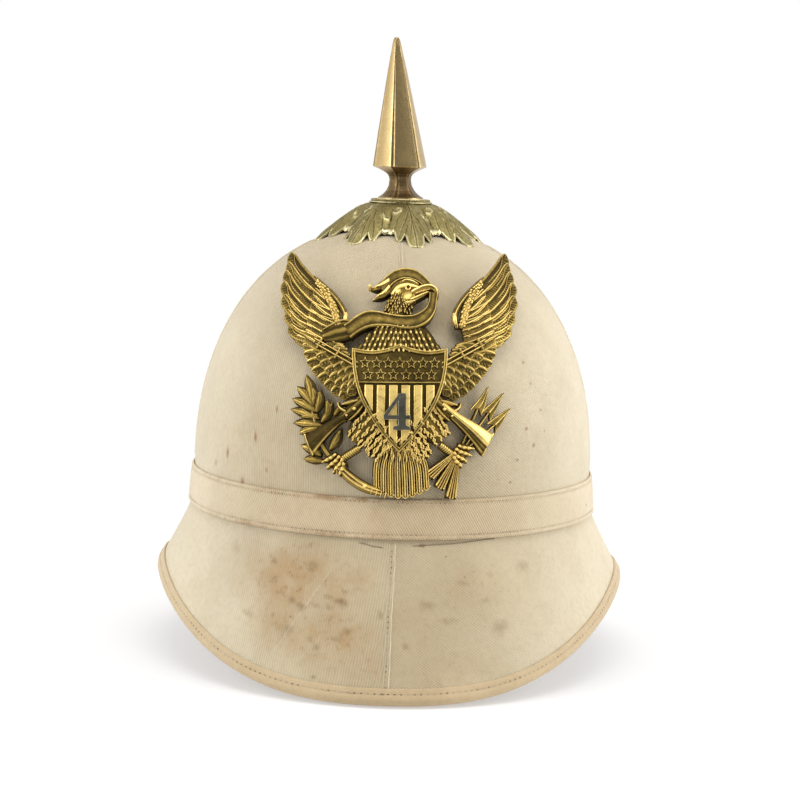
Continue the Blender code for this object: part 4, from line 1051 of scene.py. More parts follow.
def bend(p):
    """Takes flat points (across, up, out) in mm to the curved plate, in metres. The head and the
    ribbon sit a little lower than drawn."""
    lower = 1.4 * smooth(p[..., 1], 24.0, 46.0) * (1 - smooth(np.abs(p[..., 0]), 18.0, 26.0))
    u, v, out = p[..., 0] * PLATE_WIDE * MM, (p[..., 1] - PLATE_DOWN - lower) * MM, p[..., 2] * MM
    c, s = math.cos(EAGLE_TURN), math.sin(EAGLE_TURN)
    x, z = EAGLE_X + u * c - v * s, EAGLE_Z + u * s + v * c
    e = 1e-4
    slope_x = (plate_front(x + e, z) - plate_front(x - e, z)) / (2 * e)
    slope_z = (plate_front(x, z + e) - plate_front(x, z - e)) / (2 * e)
    n = unit(np.stack([slope_x, -np.ones_like(x), slope_z], -1))
    return np.stack([x, plate_front(x, z), z], -1) + n * out[..., None] + SETTLE


def resample(line, pick):
    """A line's points at shares of its count of points."""
    have = np.linspace(0, 1, len(line))
    return np.stack([np.interp(pick, have, column) for column in np.asarray(line, float).T], -1)


def spline(points, step):
    """A smooth curve through points, at even steps."""
    q = np.asarray(points, float)
    if len(q) == 2:
        fine = q[0] + (q[1] - q[0]) * np.linspace(0, 1, 40)[:, None]
    else:
        pad = np.concatenate([[2 * q[0] - q[1]], q, [2 * q[-1] - q[-2]]])
        fine = []
        for i in range(1, len(pad) - 2):
            t = np.linspace(0, 1, 16, endpoint=i == len(pad) - 3)[:, None]
            a, b, c, d = pad[i - 1:i + 3]
            fine.append(0.5 * (2 * b + (c - a) * t + (2 * a - 5 * b + 4 * c - d) * t**2
                               + (3 * b - a - 3 * c + d) * t**3))
        fine = np.concatenate(fine)
    run = run_along(fine)
    at = np.linspace(0, run[-1], max(int(round(run[-1] / step)) + 1, 4))
    return np.stack([np.interp(at, run, column) for column in fine.T], -1)


def aside(run):
    """The unit direction to the right of a direction, or of each of a list."""
    return unit(np.stack([run[..., 1], -run[..., 0]], -1))


def points_of(*rows):
    return [np.array(row, float) for row in rows]


def loft(left, right, share, height):
    """Rows of points from one line to another, at shares of the way and at heights."""
    t = share[None, :, None]
    flat = left[:, None] * (1 - t) + right[:, None] * t
    return np.concatenate([flat, np.broadcast_to(height[None, :, None], (*flat.shape[:2], 1))], -1)


# Across a feather: place from -1 at the vane's edge past 0 at the shaft, and how rough it is
VANE = np.array([
    (-1, 0.2), (-0.93, 0.7), (-0.80, 1), (-0.62, 1), (-0.44, 1), (-0.29, 0.8), (-0.17, 0.3), (-0.08, 0),
    (0, 0), (0.4, 0), (0.8, 0), (1.0, 0)])


class Plate(Pile):
    """Pieces drawn flat in mm, then bent on to the crown. mirror turns the left wing to the right."""

    mirror = False

    def flat(self, p, tone, wrap=False):
        p = np.array(p, float)
        if self.mirror:
            p[..., 0] *= -(1 - 0.045 * smooth(p[..., 1], 30.0, 60.0))
        self.grid(bend(p), wrap=wrap, tone=tone, flip=self.mirror)

    def closed(self, top, tone):
        """A strip, closed down its sides and over its ends to the plate's back. tone has one
        value more at each side."""
        ends = top[:, [0, -1]].copy()
        ends[..., 2] = BACK
        ring = np.concatenate([ends[:, :1], top, ends[:, 1:]], 1)
        middle = ring.mean(1, keepdims=True) + 0 * ring
        ring = np.concatenate([middle[:1], ring, middle[-1:]])
        self.flat(ring, np.concatenate([tone[:1], tone, tone[-1:]]), wrap=True)

    def strip(self, line, x, height, tone):
        """x, height and tone are stations by points across, from left to right."""
        side = aside(unit(np.gradient(line, axis=0)))
        flat = line[:, None] + side[:, None] * x[..., None]
        # the sides down to the plate's back are painted dark, as the shade there
        low = np.minimum(tone[:, [0, -1]], 0.2)
        self.closed(np.concatenate([flat, height[..., None]], -1),
                    np.concatenate([low[:, :1], tone, low[:, 1:]], 1))

    def feather(self, line, width, lead=0.5, base=1.0, rise=0.4, ridge=0.7, barb=0.13, pitch=1.05,
                shine=1.0, shag=0.0, slant=0.9, round_tip=0.75, vane=0.27):
        """A feather: its bright shaft is the line, and its vane lies to the left of it."""
        line = spline(line, 0.3)
        run = run_along(line)[:, None]
        share = run / run[-1]
        t, rough = VANE.T
        rise_by = np.array([-0.32, 0.02, 0.12, 0.15, 0.10, -0.05, -0.22, 0.45 * ridge, ridge,
                            0.6 * ridge, 0.1, -0.3])
        # the shades paint the shaft and the tip bright as highlights, and the vane's hollow and the groove by
        # the shaft dark as shade
        shades = np.array([0.55, 0.66, vane + 0.05, vane, vane - 0.02, vane - 0.14, 0.0, 0.55, 1.0,
                           0.80, 0.35, 0.2])
        end = width * round_tip
        taper = np.sqrt(1 - np.clip((run - (run[-1] - end)) / end, 0, 0.999) ** 2)
        opened = 0.55 + 0.45 * smooth(share, 0.0, 0.5)
        x = np.where(t < 0, t * width * opened * taper, t * lead * taper) - 0.22 * width * (1 - taper)
        phase = TAU * (run + slant * np.abs(x)) / pitch
        wave = np.sin(phase) * rough
        x = x + shag * rough * (t < -0.5) * np.cos(phase) * taper
        height = base + rise * (1 - share) + rise_by * (0.45 + 0.55 * taper) + barb * wave
        tone = shades * shine + 0.20 * wave + 0.30 * (1 - taper)
        self.strip(line, x, height, np.clip(tone, 0, 1.15))

    def blade(self, line, widths, edge, ridge, tone, step=0.5, count=9, power=1.5, peak=0.5,
              wave=0.0, pitch=1.2, across=0.0, tip=True):
        """A rounded strip along a line, with a width for each of its points, from its edge's
        height to its ridge's. wave adds ripples along it and across adds lengthwise furrows."""
        fine = spline(line, step)
        share = np.linspace(0, 50, len(fine))
        wide = spline(np.stack([np.linspace(0, 50, len(widths)), widths], -1), 0.5)
        w = np.interp(share, wide[:, 0], wide[:, 1])[:, None]
        t = np.sin(np.linspace(-1, 1, count) * np.pi / 2)
        off = np.where(t < peak * 2 - 1, (t + 1) / (peak * 2), (1 - t) / (2 - peak * 2))
        crest = np.clip(off, 0, 1) ** (1 / power)
        ripple = np.sin(TAU * run_along(fine)[:, None] / pitch + 1.2 * np.abs(t))
        furrow = np.cos(t * np.pi * 3.0)
        height = edge + (ridge - edge) * crest + wave * ripple * crest + across * furrow * crest
        if tip:
            height = height * np.clip(w / max(widths) * 2.2, 0.35, 1)
        # a painted highlight along the ridge and on the ripples and furrows, and painted shade toward the
        # edges
        shine = tone[0] + (tone[1] - tone[0]) * crest**2 + 0 * w
        shine = shine + (0.28 * ripple if wave else 0) + (0.30 * furrow if across else 0)
        self.strip(fine, t * w / 2, height, np.clip(shine, 0, 1.15))

    def between(self, left, right, profile, step=0.6):
        """A strip between two edge lines. profile is (share from left to right, height, tone)."""
        a, b = spline(left, step), spline(right, step)
        pick = np.linspace(0, 1, max(len(a), len(b)))
        t, h, s = np.array(profile).T
        tone = np.repeat(np.concatenate([[0.1], s, [0.1]])[None], len(pick), 0)
        self.closed(loft(resample(a, pick), resample(b, pick), t, h), tone)

    def dome(self, centre, size, base, top, turn=0.0, tone=(0.3, 1.0), rows=6, cols=16):
        """A low oval button."""
        r, h = np.sin(np.linspace(np.pi / 2, 0.0, rows)), np.cos(np.linspace(np.pi / 2, 0.0, rows))
        c, s = math.cos(turn), math.sin(turn)
        x, y = np.cos(around(cols)) * size[0], np.sin(around(cols)) * size[1]
        oval = np.stack([x * c - y * s, x * s + y * c], -1)
        height = np.repeat((base + (top - base) * h)[:, None], cols, 1)[..., None]
        ring = np.concatenate([np.array(centre, float) + r[:, None, None] * oval, height], -1)
        foot = ring[:1].copy()
        foot[..., 2] = BACK
        under = foot * 0 + foot.mean(1, keepdims=True)
        # a painted highlight on the top of the button, darker toward its foot as painted shade
        tones = tone[0] + (tone[1] - tone[0]) * np.concatenate([[0, 0], h])[:, None] ** 1.5
        self.flat(np.concatenate([under, foot, ring]), tones, wrap=True)

    def done(self, name):
        self.make(name, [PLATE_BRASS], "plate_brass", ["eagle_plate"])


# Wings

# The left wing's feathers: shaft from root to tip, the width of the vane, and its brightness
PRIMARIES = (
    (((-33.0, 44.6), (-38.0, 48.6), (-42.4, 52.0), (-49.2, 58.6), (-53.0, 63.6)), 5.6, 0.45),
    (((-30.0, 38.0), (-38.9, 44.2), (-42.6, 47.0), (-46.6, 50.2), (-50.4, 54.2), (-54.2, 59.0)), 4.6, 1.0),
    (((-30.0, 36.0), (-41.2, 40.8), (-46.8, 45.0), (-51.0, 49.3), (-55.2, 55.3)), 4.6, 1.0),
    (((-31.0, 33.0), (-41.8, 36.5), (-47.1, 40.2), (-52.0, 44.8), (-55.8, 50.6)), 4.8, 1.0),
    (((-32.0, 29.0), (-42.9, 33.7), (-46.5, 35.8), (-51.0, 39.3), (-55.4, 44.9)), 5.2, 1.0),
    (((-32.0, 26.0), (-44.4, 31.2), (-49.6, 33.8), (-53.9, 38.2)), 5.2, 1.0),
    (((-33.0, 24.0), (-44.7, 27.7), (-49.0, 29.2), (-52.4, 31.8)), 4.8, 1.0),
    (((-34.0, 21.5), (-40.5, 24.3), (-45.5, 25.3), (-49.6, 26.8)), 3.8, 0.9),
)
COVERT_ROOTS = ((-29.4, 37.0), (-29.2, 30.0), (-31.0, 20.5))
COVERT_TIPS = ((-40.8, 47.4), (-42.4, 40.0), (-44.4, 32.6), (-44.8, 26.4))
ARM = (((-41.6, 50.8), (-37.2, 46.4), (-32.4, 39.6), (-30.4, 34.2), (-28.6, 29.8)), (0.5, 2.2, 3.8, 4.2, 1.8))
ARM_EDGE = (((-42.0, 52.6), (-37.2, 48.0), (-32.0, 43.6), (-28.4, 39.6), (-26.4, 35.6), (-27.2, 30.0)),
            (0.8, 2.6, 3.2, 3.0, 3.0, 2.0))
LOWER_TIPS = ((-46.6, 22.8), (-45.8, 18.6), (-43.8, 14.2), (-40.6, 10.2), (-37.2, 6.4), (-33.4, 2.8),
              (-29.0, 0.4), (-24.6, -1.6))
LOWER_ROOTS = ((-28.0, 22.0), (-26.0, 20.0), (-24.5, 17.5), (-23.0, 15.0), (-22.0, 12.5),
               (-21.0, 10.0), (-20.0, 7.6), (-18.6, 5.6))
# Rows of shaggy feathers: reach, count, width, height, rise, and the shift of every one by half
LOWER_ROWS = ((1.0, 8, 4.4, 1.1, 0.3, 0.0), (0.72, 8, 4.0, 1.7, 0.3, 0.5), (0.47, 7, 3.6, 2.1, 0.2, 0.0),
              (0.26, 6, 3.4, 2.4, 0.1, 0.5))
BARRELS = (((-40.0, 24.6), (-19.5, 14.6)), ((-39.4, 22.3), (-19.5, 12.6)))
BARREL_BANDS = ((-37.5, 22.6), (-29.0, 18.4))


def add_primaries(pile):
    # a plain sheet behind the feathers closes the gaps between them, painted near black as the shade there
    for line, width, _ in PRIMARIES:
        short = np.array(line)
        short[-1] = short[-1] * 0.72 + short[-2] * 0.28
        widths = [width * 0.9] + [width * 1.25] * (len(line) - 2) + [width * 0.7]
        pile.blade(short + np.array([-0.35, -0.45]) * width, widths, 0.5, 0.7, (0.02, 0.04), 2.0, 5)
    for line, width, shine in PRIMARIES:
        pile.feather(line, width, base=0.95, rise=0.8, ridge=0.75 * max(shine, 0.5),
                     shine=0.56 + 0.36 * shine)
        if width > 4:
            line = np.array(line)
            root = line[-3:-1] + np.array([-0.30, -0.38]) * width
            pile.blade((*root, line[-1] * 0.7 + root[-1] * 0.3), (0.35, 0.5, 0.3), 1.0, 1.75,
                       (0.3, 0.95), 0.8, 5)


def add_coverts_and_arm(pile):
    for i in range(8):
        root, tip = resample(COVERT_ROOTS, i / 7), resample(COVERT_TIPS, i / 7)
        middle = (root + tip) / 2 + (0.4, -0.9)
        pile.feather((root, middle, tip), 3.5, base=1.55 + 0.05 * i, rise=0.6, ridge=0.75, pitch=1.1,
                     round_tip=0.7)
    pile.blade(*ARM_EDGE, 1.4, 2.6, (0.12, 0.50), 0.4, across=0.10)
    pile.blade(*ARM, 2.3, 3.2, (0.20, 0.62), 0.35, power=2.0)
    arm = spline(ARM[0], 1.35)
    lean = unit(np.gradient(arm, axis=0))
    rng = np.random.default_rng(3)
    for spot, way in zip(arm[2:-1], lean[2:-1]):
        for off in (-1.15, 0.0, 1.15):
            centre = spot + aside(way) * (off + 0.2 * rng.normal()) + 0.2 * rng.normal(0, 1, 2)
            pile.dome(centre, (0.85, 0.55), 2.4, 3.75 - 0.2 * abs(off), math.atan2(way[1], way[0]) + 0.5,
                      (0.20, 1.15), rows=4, cols=10)
    pile.dome((-25.9, 34.0), (1.25, 2.9), 1.6, 3.6, math.radians(-8), (0.75, 1.1))


def add_lower_feathers(pile):
    """The shaggy feathers below the arm."""
    for reach, count, width, base, rise, shift in LOWER_ROWS:
        for i in range(count):
            share = (i + shift) / count * 0.98
            root, tip = resample(LOWER_ROOTS, share), resample(LOWER_TIPS, share)
            tip = root + (tip - root) * reach
            start = root + (tip - root) * (0.12 if reach > 0.5 else -0.15)
            pile.feather((start, (start + tip) / 2 + (0.4, 1.0), tip), width, lead=1.3, base=base, rise=rise,
                         ridge=0.45, barb=0.26, pitch=1.45, shag=0.28, slant=1.3, vane=0.26, shine=0.78)


def add_barrels(pile):
    """The end of a rifle: two barrels side by side across the feathers."""
    for line in BARRELS:
        pile.blade(line, (1.5, 1.7), 2.3, 3.9, (0.05, 1.0), 1.2, power=1.2, tip=False)
    pile.blade(((-39.8, 23.4), (-19.5, 13.6)), (2.0, 2.2), 2.2, 3.0, (0.05, 0.1), 2.0, 5, tip=False)
    for spot in points_of(*BARREL_BANDS):
        pile.blade((spot + (-1.2, -2.2), spot + (1.2, 2.2)), (1.3, 1.3), 3.0, 4.3, (0.4, 0.95), 0.6,
                   tip=False)


def build_wings():
    for side in ("left", "right"):
        pile = Plate()
        pile.mirror = side == "right"
        add_primaries(pile)
        add_coverts_and_arm(pile)
        add_lower_feathers(pile)
        add_barrels(pile)
        pile.done("wing_" + side)


# Body and head

# Rows of feathers: height, left end, right end, count
BREAST_ROWS = ((31.4, -10.0, 7.8, 9), (28.6, -12.2, 10.6, 11), (25.8, -14.6, 13.2, 13),
               (23.2, -17.0, 15.6, 15), (21.0, -19.0, 18.0, 17))
NECK_ROWS = ((45.0, -3.6, 2.0, 5), (43.6, -5.0, 4.4, 8), (42.2, -5.8, 5.0, 9), (40.8, -6.4, 5.0, 9),
             (39.4, -6.8, 4.8, 9), (38.0, -7.2, 4.6, 9), (36.6, -7.8, 4.6, 9))


def small_feathers(pile, rows, base, width, long, lean, jitter, tone=(0.08, 0.34)):
    """Rows of small hanging feathers with rounded tips, which carry painted highlights."""
    rng = np.random.default_rng(11)
    for k, (up, left, right, count) in enumerate(rows):
        for i in range(count):
            u = left + (right - left) * (i + 0.5 * (k % 2)) / max(count - 1, 1)
            if u > right + 0.01:
                continue
            way = unit(np.array([lean(u), -1.0])) * long
            level = base(u) + rng.normal(0, 0.10)
            spot = np.array([u, up]) + rng.normal(0, 1, 2) * jitter
            start, tip = spot - way * 0.5, spot + way * 0.5
            pile.blade((start, (start + tip) / 2, tip - way * 0.10, tip),
                       (width * 0.8, width, width * 0.9, 0.3), level - 0.2, level + 0.35, tone,
                       count=7, power=1.2)
            pile.dome(tip - way * 0.20, (width * 0.21, long * 0.24), level + 0.1, level + 0.85,
                      math.atan2(way[1], way[0]) + math.pi / 2, (0.45, 1.15), rows=5, cols=10)
            pile.blade((start + way * 0.12, start + way * 0.45), (0.30, 0.45), level + 0.1, level + 0.45,
                       (0.3, 0.75), 0.7, 5, tip=False)


def add_head(pile):
    """Skull, brow, cheek, eye and the hooked beak."""
    pile.blade(((-4.2, 44.6), (-1.4, 47.6), (2.6, 48.8), (6.6, 48.2), (9.0, 47.4)), (3.4, 6.2, 6.8, 5.2, 3.6),
               3.0, 5.0, (0.25, 0.75), 0.4, across=0.10)
    pile.dome((3.4, 44.4), (4.2, 3.0), 3.2, 4.7, math.radians(25), (0.35, 0.80))
    pile.dome((-1.4, 46.2), (2.6, 2.0), 3.2, 4.7, math.radians(20), (0.30, 0.85))
    pile.blade(((-0.4, 49.0), (2.4, 50.3), (5.6, 49.8), (8.4, 48.4)), (0.6, 1.5, 1.7, 0.7), 4.6, 5.8,
               (0.35, 0.85), 0.4)
    pile.dome((3.5, 47.3), (1.45, 1.15), 4.7, 5.5, 0.0, (0.8, 1.1))
    pile.dome((3.6, 47.3), (0.85, 0.72), 5.3, 5.8, 0.0, (0.0, 0.0), rows=4, cols=12)
    pile.blade(((5.2, 45.6), (7.4, 46.8), (10.6, 48.0), (13.6, 48.4), (16.2, 47.4), (17.5, 45.2),
                (16.8, 43.2)), (4.0, 3.6, 2.9, 2.6, 2.5, 1.9, 0.5), 3.2, 5.4, (0.30, 0.85), 0.35, across=0.10)
    pile.blade(((4.6, 42.6), (7.6, 43.8), (11.0, 45.2), (14.4, 46.4)), (2.6, 2.4, 1.8, 0.6), 2.9, 4.6,
               (0.35, 0.95), 0.4, across=0.10)
    pile.blade(((7.0, 45.0), (10.0, 46.0), (13.6, 46.8)), (0.7, 0.8, 0.4), 3.6, 5.0, (0.5, 1.05), 0.4)
    pile.blade(((2.0, 41.2), (4.6, 41.6), (7.4, 42.4)), (1.4, 1.6, 0.5), 3.4, 4.6, (0.5, 1.1), 0.4)


def build_body():
    pile = Plate()
    # dark base sheets under the breast and neck feathers, painted as the shade between them
    pile.blade(((0.0, 12.0), (0.0, 20.0), (-0.4, 26.0), (-1.5, 35.0)), (42.0, 38.0, 29.0, 16.0), 1.8, 3.3,
               (0.04, 0.10), 1.0, 15, tip=False)
    pile.blade(((-1.5, 33.0), (-1.4, 38.0), (-0.2, 43.0), (2.5, 47.4)), (15.0, 12.6, 10.4, 8.0), 2.2, 4.0,
               (0.08, 0.35), 0.8, 11, tip=False)
    small_feathers(pile, BREAST_ROWS, lambda u: 2.2 + 1.3 * max(0.0, 1 - (u / 21.0) ** 2), 2.7, 3.7,
                   lambda u: u * 0.034, 0.16)
    small_feathers(pile, NECK_ROWS, lambda u: 2.8 + 1.4 * max(0.0, 1 - ((u + 0.8) / 7.5) ** 2), 1.4, 1.9,
                   lambda u: (u + 1) * 0.05 - 0.12, 0.28, (0.22, 0.62))
    add_head(pile)
    pile.done("eagle_body")


# Ribbon

# across the ribbon: share, height and tone; the tone paints highlights on the rolled rims and shade inside
# them
RIBBON_PROFILE = (
    (0.0, 3.2, 0.30), (0.03, 3.9, 0.60), (0.08, 4.25, 0.76), (0.14, 3.95, 0.34), (0.19, 3.7, 0.10),
    (0.34, 3.78, 0.26), (0.5, 3.85, 0.34), (0.66, 3.78, 0.28), (0.81, 3.7, 0.10), (0.86, 3.95, 0.34),
    (0.92, 4.25, 0.74), (0.97, 3.9, 0.5), (1.0, 3.2, 0.2),
)
# The arch over the head, and the length from the beak to the left: each edge of both
ARCH = (
    ((-10.4, 49.0), (-7.3, 52.4), (-3.4, 55.0), (1.7, 56.3), (6.8, 55.6), (10.9, 53.2), (14.4, 49.8),
     (15.2, 47.6)),
    ((-7.0, 44.8), (-5.6, 47.0), (-3.6, 49.2), (-0.6, 50.9), (2.8, 51.5), (6.8, 50.7), (9.7, 49.3),
     (11.2, 48.2)),
)
TRAIL = (
    ((13.5, 45.7), (13.3, 42.4), (11.9, 39.0), (8.9, 36.7), (5.4, 35.4), (-0.1, 35.3), (-6.1, 36.2),
     (-12.1, 37.4), (-16.7, 37.1), (-20.5, 34.9), (-23.4, 32.2), (-26.2, 30.4)),
    ((17.9, 46.0), (17.2, 42.4), (16.7, 38.0), (14.6, 33.8), (11.2, 30.8), (7.0, 29.2), (1.5, 29.0),
     (-4.5, 29.9), (-11.1, 30.0), (-15.8, 29.0), (-19.6, 27.0), (-22.8, 24.6)),
)
FORKED_ENDS = (
    (((-5.4, 51.2), (-8.8, 49.2), (-11.6, 48.2), (-14.9, 48.6)), (5.4, 4.2, 2.4, 0.5)),
    (((-5.2, 48.4), (-7.6, 46.0), (-9.8, 44.6), (-13.2, 43.8)), (5.0, 4.0, 2.4, 0.5)),
)


def raised(profile, by):
    return [(t, h + by, tone) for t, h, tone in profile]


def build_ribbon():
    pile = Plate()
    pile.between(*ARCH, raised(RIBBON_PROFILE, 0.1), 0.5)
    for line, widths in FORKED_ENDS:
        pile.blade(line, widths, 2.6, 4.6, (0.15, 0.85), 0.4, across=0.14)
    pile.dome((-14.5, 48.6), (0.9, 0.7), 2.6, 4.6, 0.0, (0.9, 1.2), rows=4, cols=10)
    pile.between(*TRAIL, raised(RIBBON_PROFILE, 0.5), 0.5)
    pile.blade(((-22.0, 29.2), (-26.4, 28.4), (-31.5, 27.0), (-36.0, 25.4)), (7.2, 8.6, 8.0, 5.0), 2.8, 4.0,
               (0.06, 0.30), 0.6, across=0.12, tip=False)
    pile.blade(((-23.4, 32.2), (-27.0, 32.4), (-31.0, 31.0), (-36.0, 28.0)), (0.9, 1.0, 1.0, 0.6), 3.2, 4.4,
               (0.4, 0.95))
    pile.done("ribbon")


# Shield

SHIELD_SIDE = ((0.0, -24.2), (3.4, -20.8), (7.0, -17.0), (13.8, -8.0), (18.7, 1.0), (21.5, 11.0),
               (22.3, 20.8))
SHIELD_TOP = ((22.3, 20.8), (20.2, 20.4), (16.4, 19.9), (12.4, 19.7), (8.4, 20.2), (4.3, 21.1), (0.0, 22.7))
# The raised edge, from outside to inside: inset, height and tone; the tone paints highlights on its beads and
# shade at its foot
SHIELD_EDGE = (
    (0.0, BACK, 0.1), (0.0, 3.4, 0.3), (0.12, 4.0, 0.6), (0.34, 4.35, 0.85), (0.60, 4.30, 0.42),
    (0.90, 4.22, 0.26), (1.15, 4.30, 0.40), (1.42, 4.4, 0.80), (1.62, 4.0, 0.5), (1.77, 3.3, 0.1),
    (1.9, 2.6, 0.0),
)
# Across a stripe: share, height and tone; the tone paints the stripe's top bright as a highlight and its
# sides dark as shade
STRIPE = np.array([
    (0, 3.2, 0.1), (0.03, 3.85, 0.65), (0.10, 4.02, 0.98), (0.3, 4.12, 1.05), (0.5, 4.16, 1.00),
    (0.7, 4.12, 1.05), (0.90, 4.02, 0.98), (0.97, 3.85, 0.65), (1.0, 3.2, 0.1)])
STRIPES, STRIPE_PITCH, STRIPE_HALF, STRIPE_TOP = 6, 5.65, 2.05, 4.9
# Rows of stars: count, height and pitch, and a star's steps: size, height and tone; the tone paints a
# highlight on each star's raised outline and shade in its sunk middle
STAR_ROWS = ((7, 14.4, 5.5), (6, 9.4, 6.0))
STAR_STEPS = ((2.85, 3.25, 0.1), (2.62, 3.95, 0.72), (2.28, 4.0, 0.78), (1.95, 3.6, 0.25), (1.75, 3.25, 0.0))


def shield_line(inset):
    """The shield's outline, anticlockwise from its foot, drawn in by mm."""
    side, top = (q - aside(unit(np.gradient(q, axis=0))) * inset
                 for q in (spline(SHIELD_SIDE, 0.8), spline(SHIELD_TOP, 0.8)))
    side[0] = (0.0, SHIELD_SIDE[0][1] + inset * 1.42)
    side[-1] = top[0] = (SHIELD_TOP[0][0] - inset * 1.0, SHIELD_TOP[0][1] - inset * 0.9)
    top[-1] = (0.0, SHIELD_TOP[-1][1] - inset * 1.1)
    half = np.concatenate([side, top[1:]])
    half[:, 0] = np.maximum(half[:, 0], 0.0)
    return np.concatenate([half, (half * [-1, 1])[-2:0:-1]])


def shield_corner(line):
    """The place of the right upper corner in the shield's outline."""
    return int(np.argmax(line[:, 0] + line[:, 1] * 0.3))


def terraces(outline, steps):
    """Rings of an outline, a function of a step's first value, at the steps' heights."""
    rings = [outline(size) for size, _, _ in steps]
    tones = np.repeat(np.array([tone for _, _, tone in steps])[:, None], len(rings[0]), 1)
    return np.stack([np.insert(ring, 2, up, 1) for ring, (_, up, _) in zip(rings, steps)]), tones


def add_field(pile):
    """The sunk field, from its foot to its top edge, and the shield's back."""
    inner = shield_line(1.7)
    right = inner[:len(inner) // 2 + 1]
    corner = shield_corner(right)
    u = np.sin(np.linspace(-1, 1, 61) * np.pi / 2) * right[corner, 0]
    low = np.interp(np.abs(u), *right[:corner + 1].T)
    high = np.interp(np.abs(u), *right[corner:][::-1].T)
    v = low + (high - low) * np.linspace(0, 1, 46)[:, None]
    p = np.stack([u + 0 * v, v, 3.3 + 0 * v], -1)
    # the sunk field is dark, patina and painted shade, and a little lighter above the stripes
    pile.flat(p, 0.02 + 0.17 * smooth(v, 5.4, 6.2))
    under = p[::-1].copy()
    under[..., 2] = BACK
    pile.flat(under, 0.0)


def add_stripes(pile):
    inside = shield_line(2.2)
    foot = inside[:shield_corner(inside) + 1].T
    rows = np.linspace(0, 1, 40)
    t, h, s = STRIPE.T
    for i in range(STRIPES):
        middle = (i - (STRIPES - 1) / 2) * STRIPE_PITCH
        edges = []
        for at in (middle - STRIPE_HALF, middle + STRIPE_HALF):
            low = np.interp(abs(at), *foot)
            edges.append(np.stack([at + 0 * rows, low + (STRIPE_TOP - low) * rows], -1))
        streak = 0.05 * np.sin(rows * 23 + i * 2.1) + 0.05 * np.sin(rows * 61 + i)
        pile.flat(loft(*edges, t, h), s - 0.07 * (i % 2) + streak[:, None])


def add_star(pile, centre):
    turn = np.pi / 2 + around(10)
    reach = np.where(np.arange(10) % 2 == 0, 1.0, 0.44)
    corner = np.stack([np.cos(turn), np.sin(turn)], -1) * reach[:, None]
    fine = np.stack([corner, (corner + np.roll(corner, -1, 0)) / 2], 1).reshape(-1, 2)
    rings, tones = terraces(lambda size: centre + fine * size, STAR_STEPS)
    pile.flat(rings, tones, wrap=True)
    middle = rings[-1] * 0 + rings[-1].mean(0)
    middle[:, 2] = 3.4
    pile.flat(np.stack([rings[-1], middle]), 0.0, wrap=True)


def build_shield():
    pile = Plate()
    pile.flat(*terraces(shield_line, SHIELD_EDGE), wrap=True)
    add_field(pile)
    pile.blade(((-19.6, 6.1), (19.6, 6.1)), (0.8, 0.8), 3.3, 4.2, (0.3, 0.75), 1.0, power=2.5, tip=False)
    add_stripes(pile)
    for count, up, pitch in STAR_ROWS:
        for i in range(count):
            add_star(pile, np.array([(i - (count - 1) / 2) * pitch * 0.97, up]))
    pile.done("shield")


# Branch, arrows, legs, tail and rifles

# The olive leaves: root, tip and width
OLIVE = (
    ((-40.8, -3.0), (-44.5, 9.5), 5.2), ((-40.0, -4.5), (-48.9, 4.0), 5.0),
    ((-38.6, -7.0), (-51.2, -1.6), 5.0), ((-37.4, -10.0), (-52.0, -6.4), 4.8),
    ((-35.8, -13.0), (-50.6, -12.6), 4.8), ((-38.8, -7.5), (-37.0, 3.0), 4.4),
    ((-36.6, -12.0), (-31.0, -2.0), 4.2), ((-32.4, -24.0), (-26.8, -13.6), 4.6),
    ((-40.0, -4.0), (-40.8, 4.4), 4.2), ((-38.0, -8.5), (-46.8, -9.8), 4.2),
    ((-36.0, -26.5), (-46.6, -22.0), 4.8), ((-35.0, -29.0), (-45.2, -28.4), 4.2),
    ((-30.5, -8.5), (-27.6, -2.8), 3.6), ((-34.0, -9.0), (-33.8, -1.0), 3.8),
    ((-38.0, -14.0), (-47.4, -17.4), 4.2),
)
# Short leaves at the branch's foot, and at the end of the bundle in the left claw
FOOT_LEAVES = ((-12.4, -41.6), (-10.2, -42.4), (-8.2, -43.0), (-6.2, -43.4))
BUNDLE_END, BUNDLE_LEAVES = (-28.6, -30.0), ((1.8, -3.6), (0.2, -4.4), (3.4, -2.4))
# The arrows: foot of the shaft, neck, widest place and tip
ARROWS = (
    ((28.0, -24.0), (36.4, -6.0), (38.9, -2.4), (41.7, 4.2)),
    ((29.0, -24.0), (41.2, -8.2), (44.4, -4.6), (49.0, 1.2)),
    ((30.0, -24.0), (44.0, -13.6), (47.4, -10.4), (52.3, -5.8)),
)
ARROW_FEATHERS = (((25.6, -25.0), (14.0, -34.6)), ((26.4, -26.0), (18.6, -40.4)),
                  ((27.6, -26.0), (24.2, -45.2)))
# across an arrowhead's halves: share, height and tone, with painted highlights on the edge bead and the ridge
HEAD_LEFT = ((0, 1.4, 0.5), (0.12, 1.9, 0.85), (0.25, 1.8, 0.35), (0.85, 2.4, 0.30), (1, 2.9, 0.95))
HEAD_RIGHT = tuple((1 - t, h, s * 0.85) for t, h, s in HEAD_LEFT[::-1])
BARBS = ((-1.75, 1.2), (-0.6, 0.9), (0.6, 0.9), (1.75, 1.2))
# Each leg by its side: thigh, knee and ankle, and the claw's centre, direction and knuckle side
LEGS = {
    -1: (((-9.5, -8.0), (-16.5, -13.5), (-21.0, -19.5)), ((-18.4, -22.0), (-26.6, -27.4)),
         ((-29.4, -29.2), (0.76, -0.65), (0.65, 0.76))),
    1: (((9.5, -8.0), (15.5, -13.0), (20.0, -18.5)), ((19.2, -20.6), (26.2, -25.8)),
        ((29.0, -24.8), (-0.50, -0.86), (-0.86, 0.50))),
}
# A claw's toes: shift along it, and reach over and under
TOES = ((-2.9, 4.2, 4.4), (-0.6, 4.9, 5.0), (1.7, 4.8, 4.6), (3.8, 3.6, 3.4))
LOCKS = 112


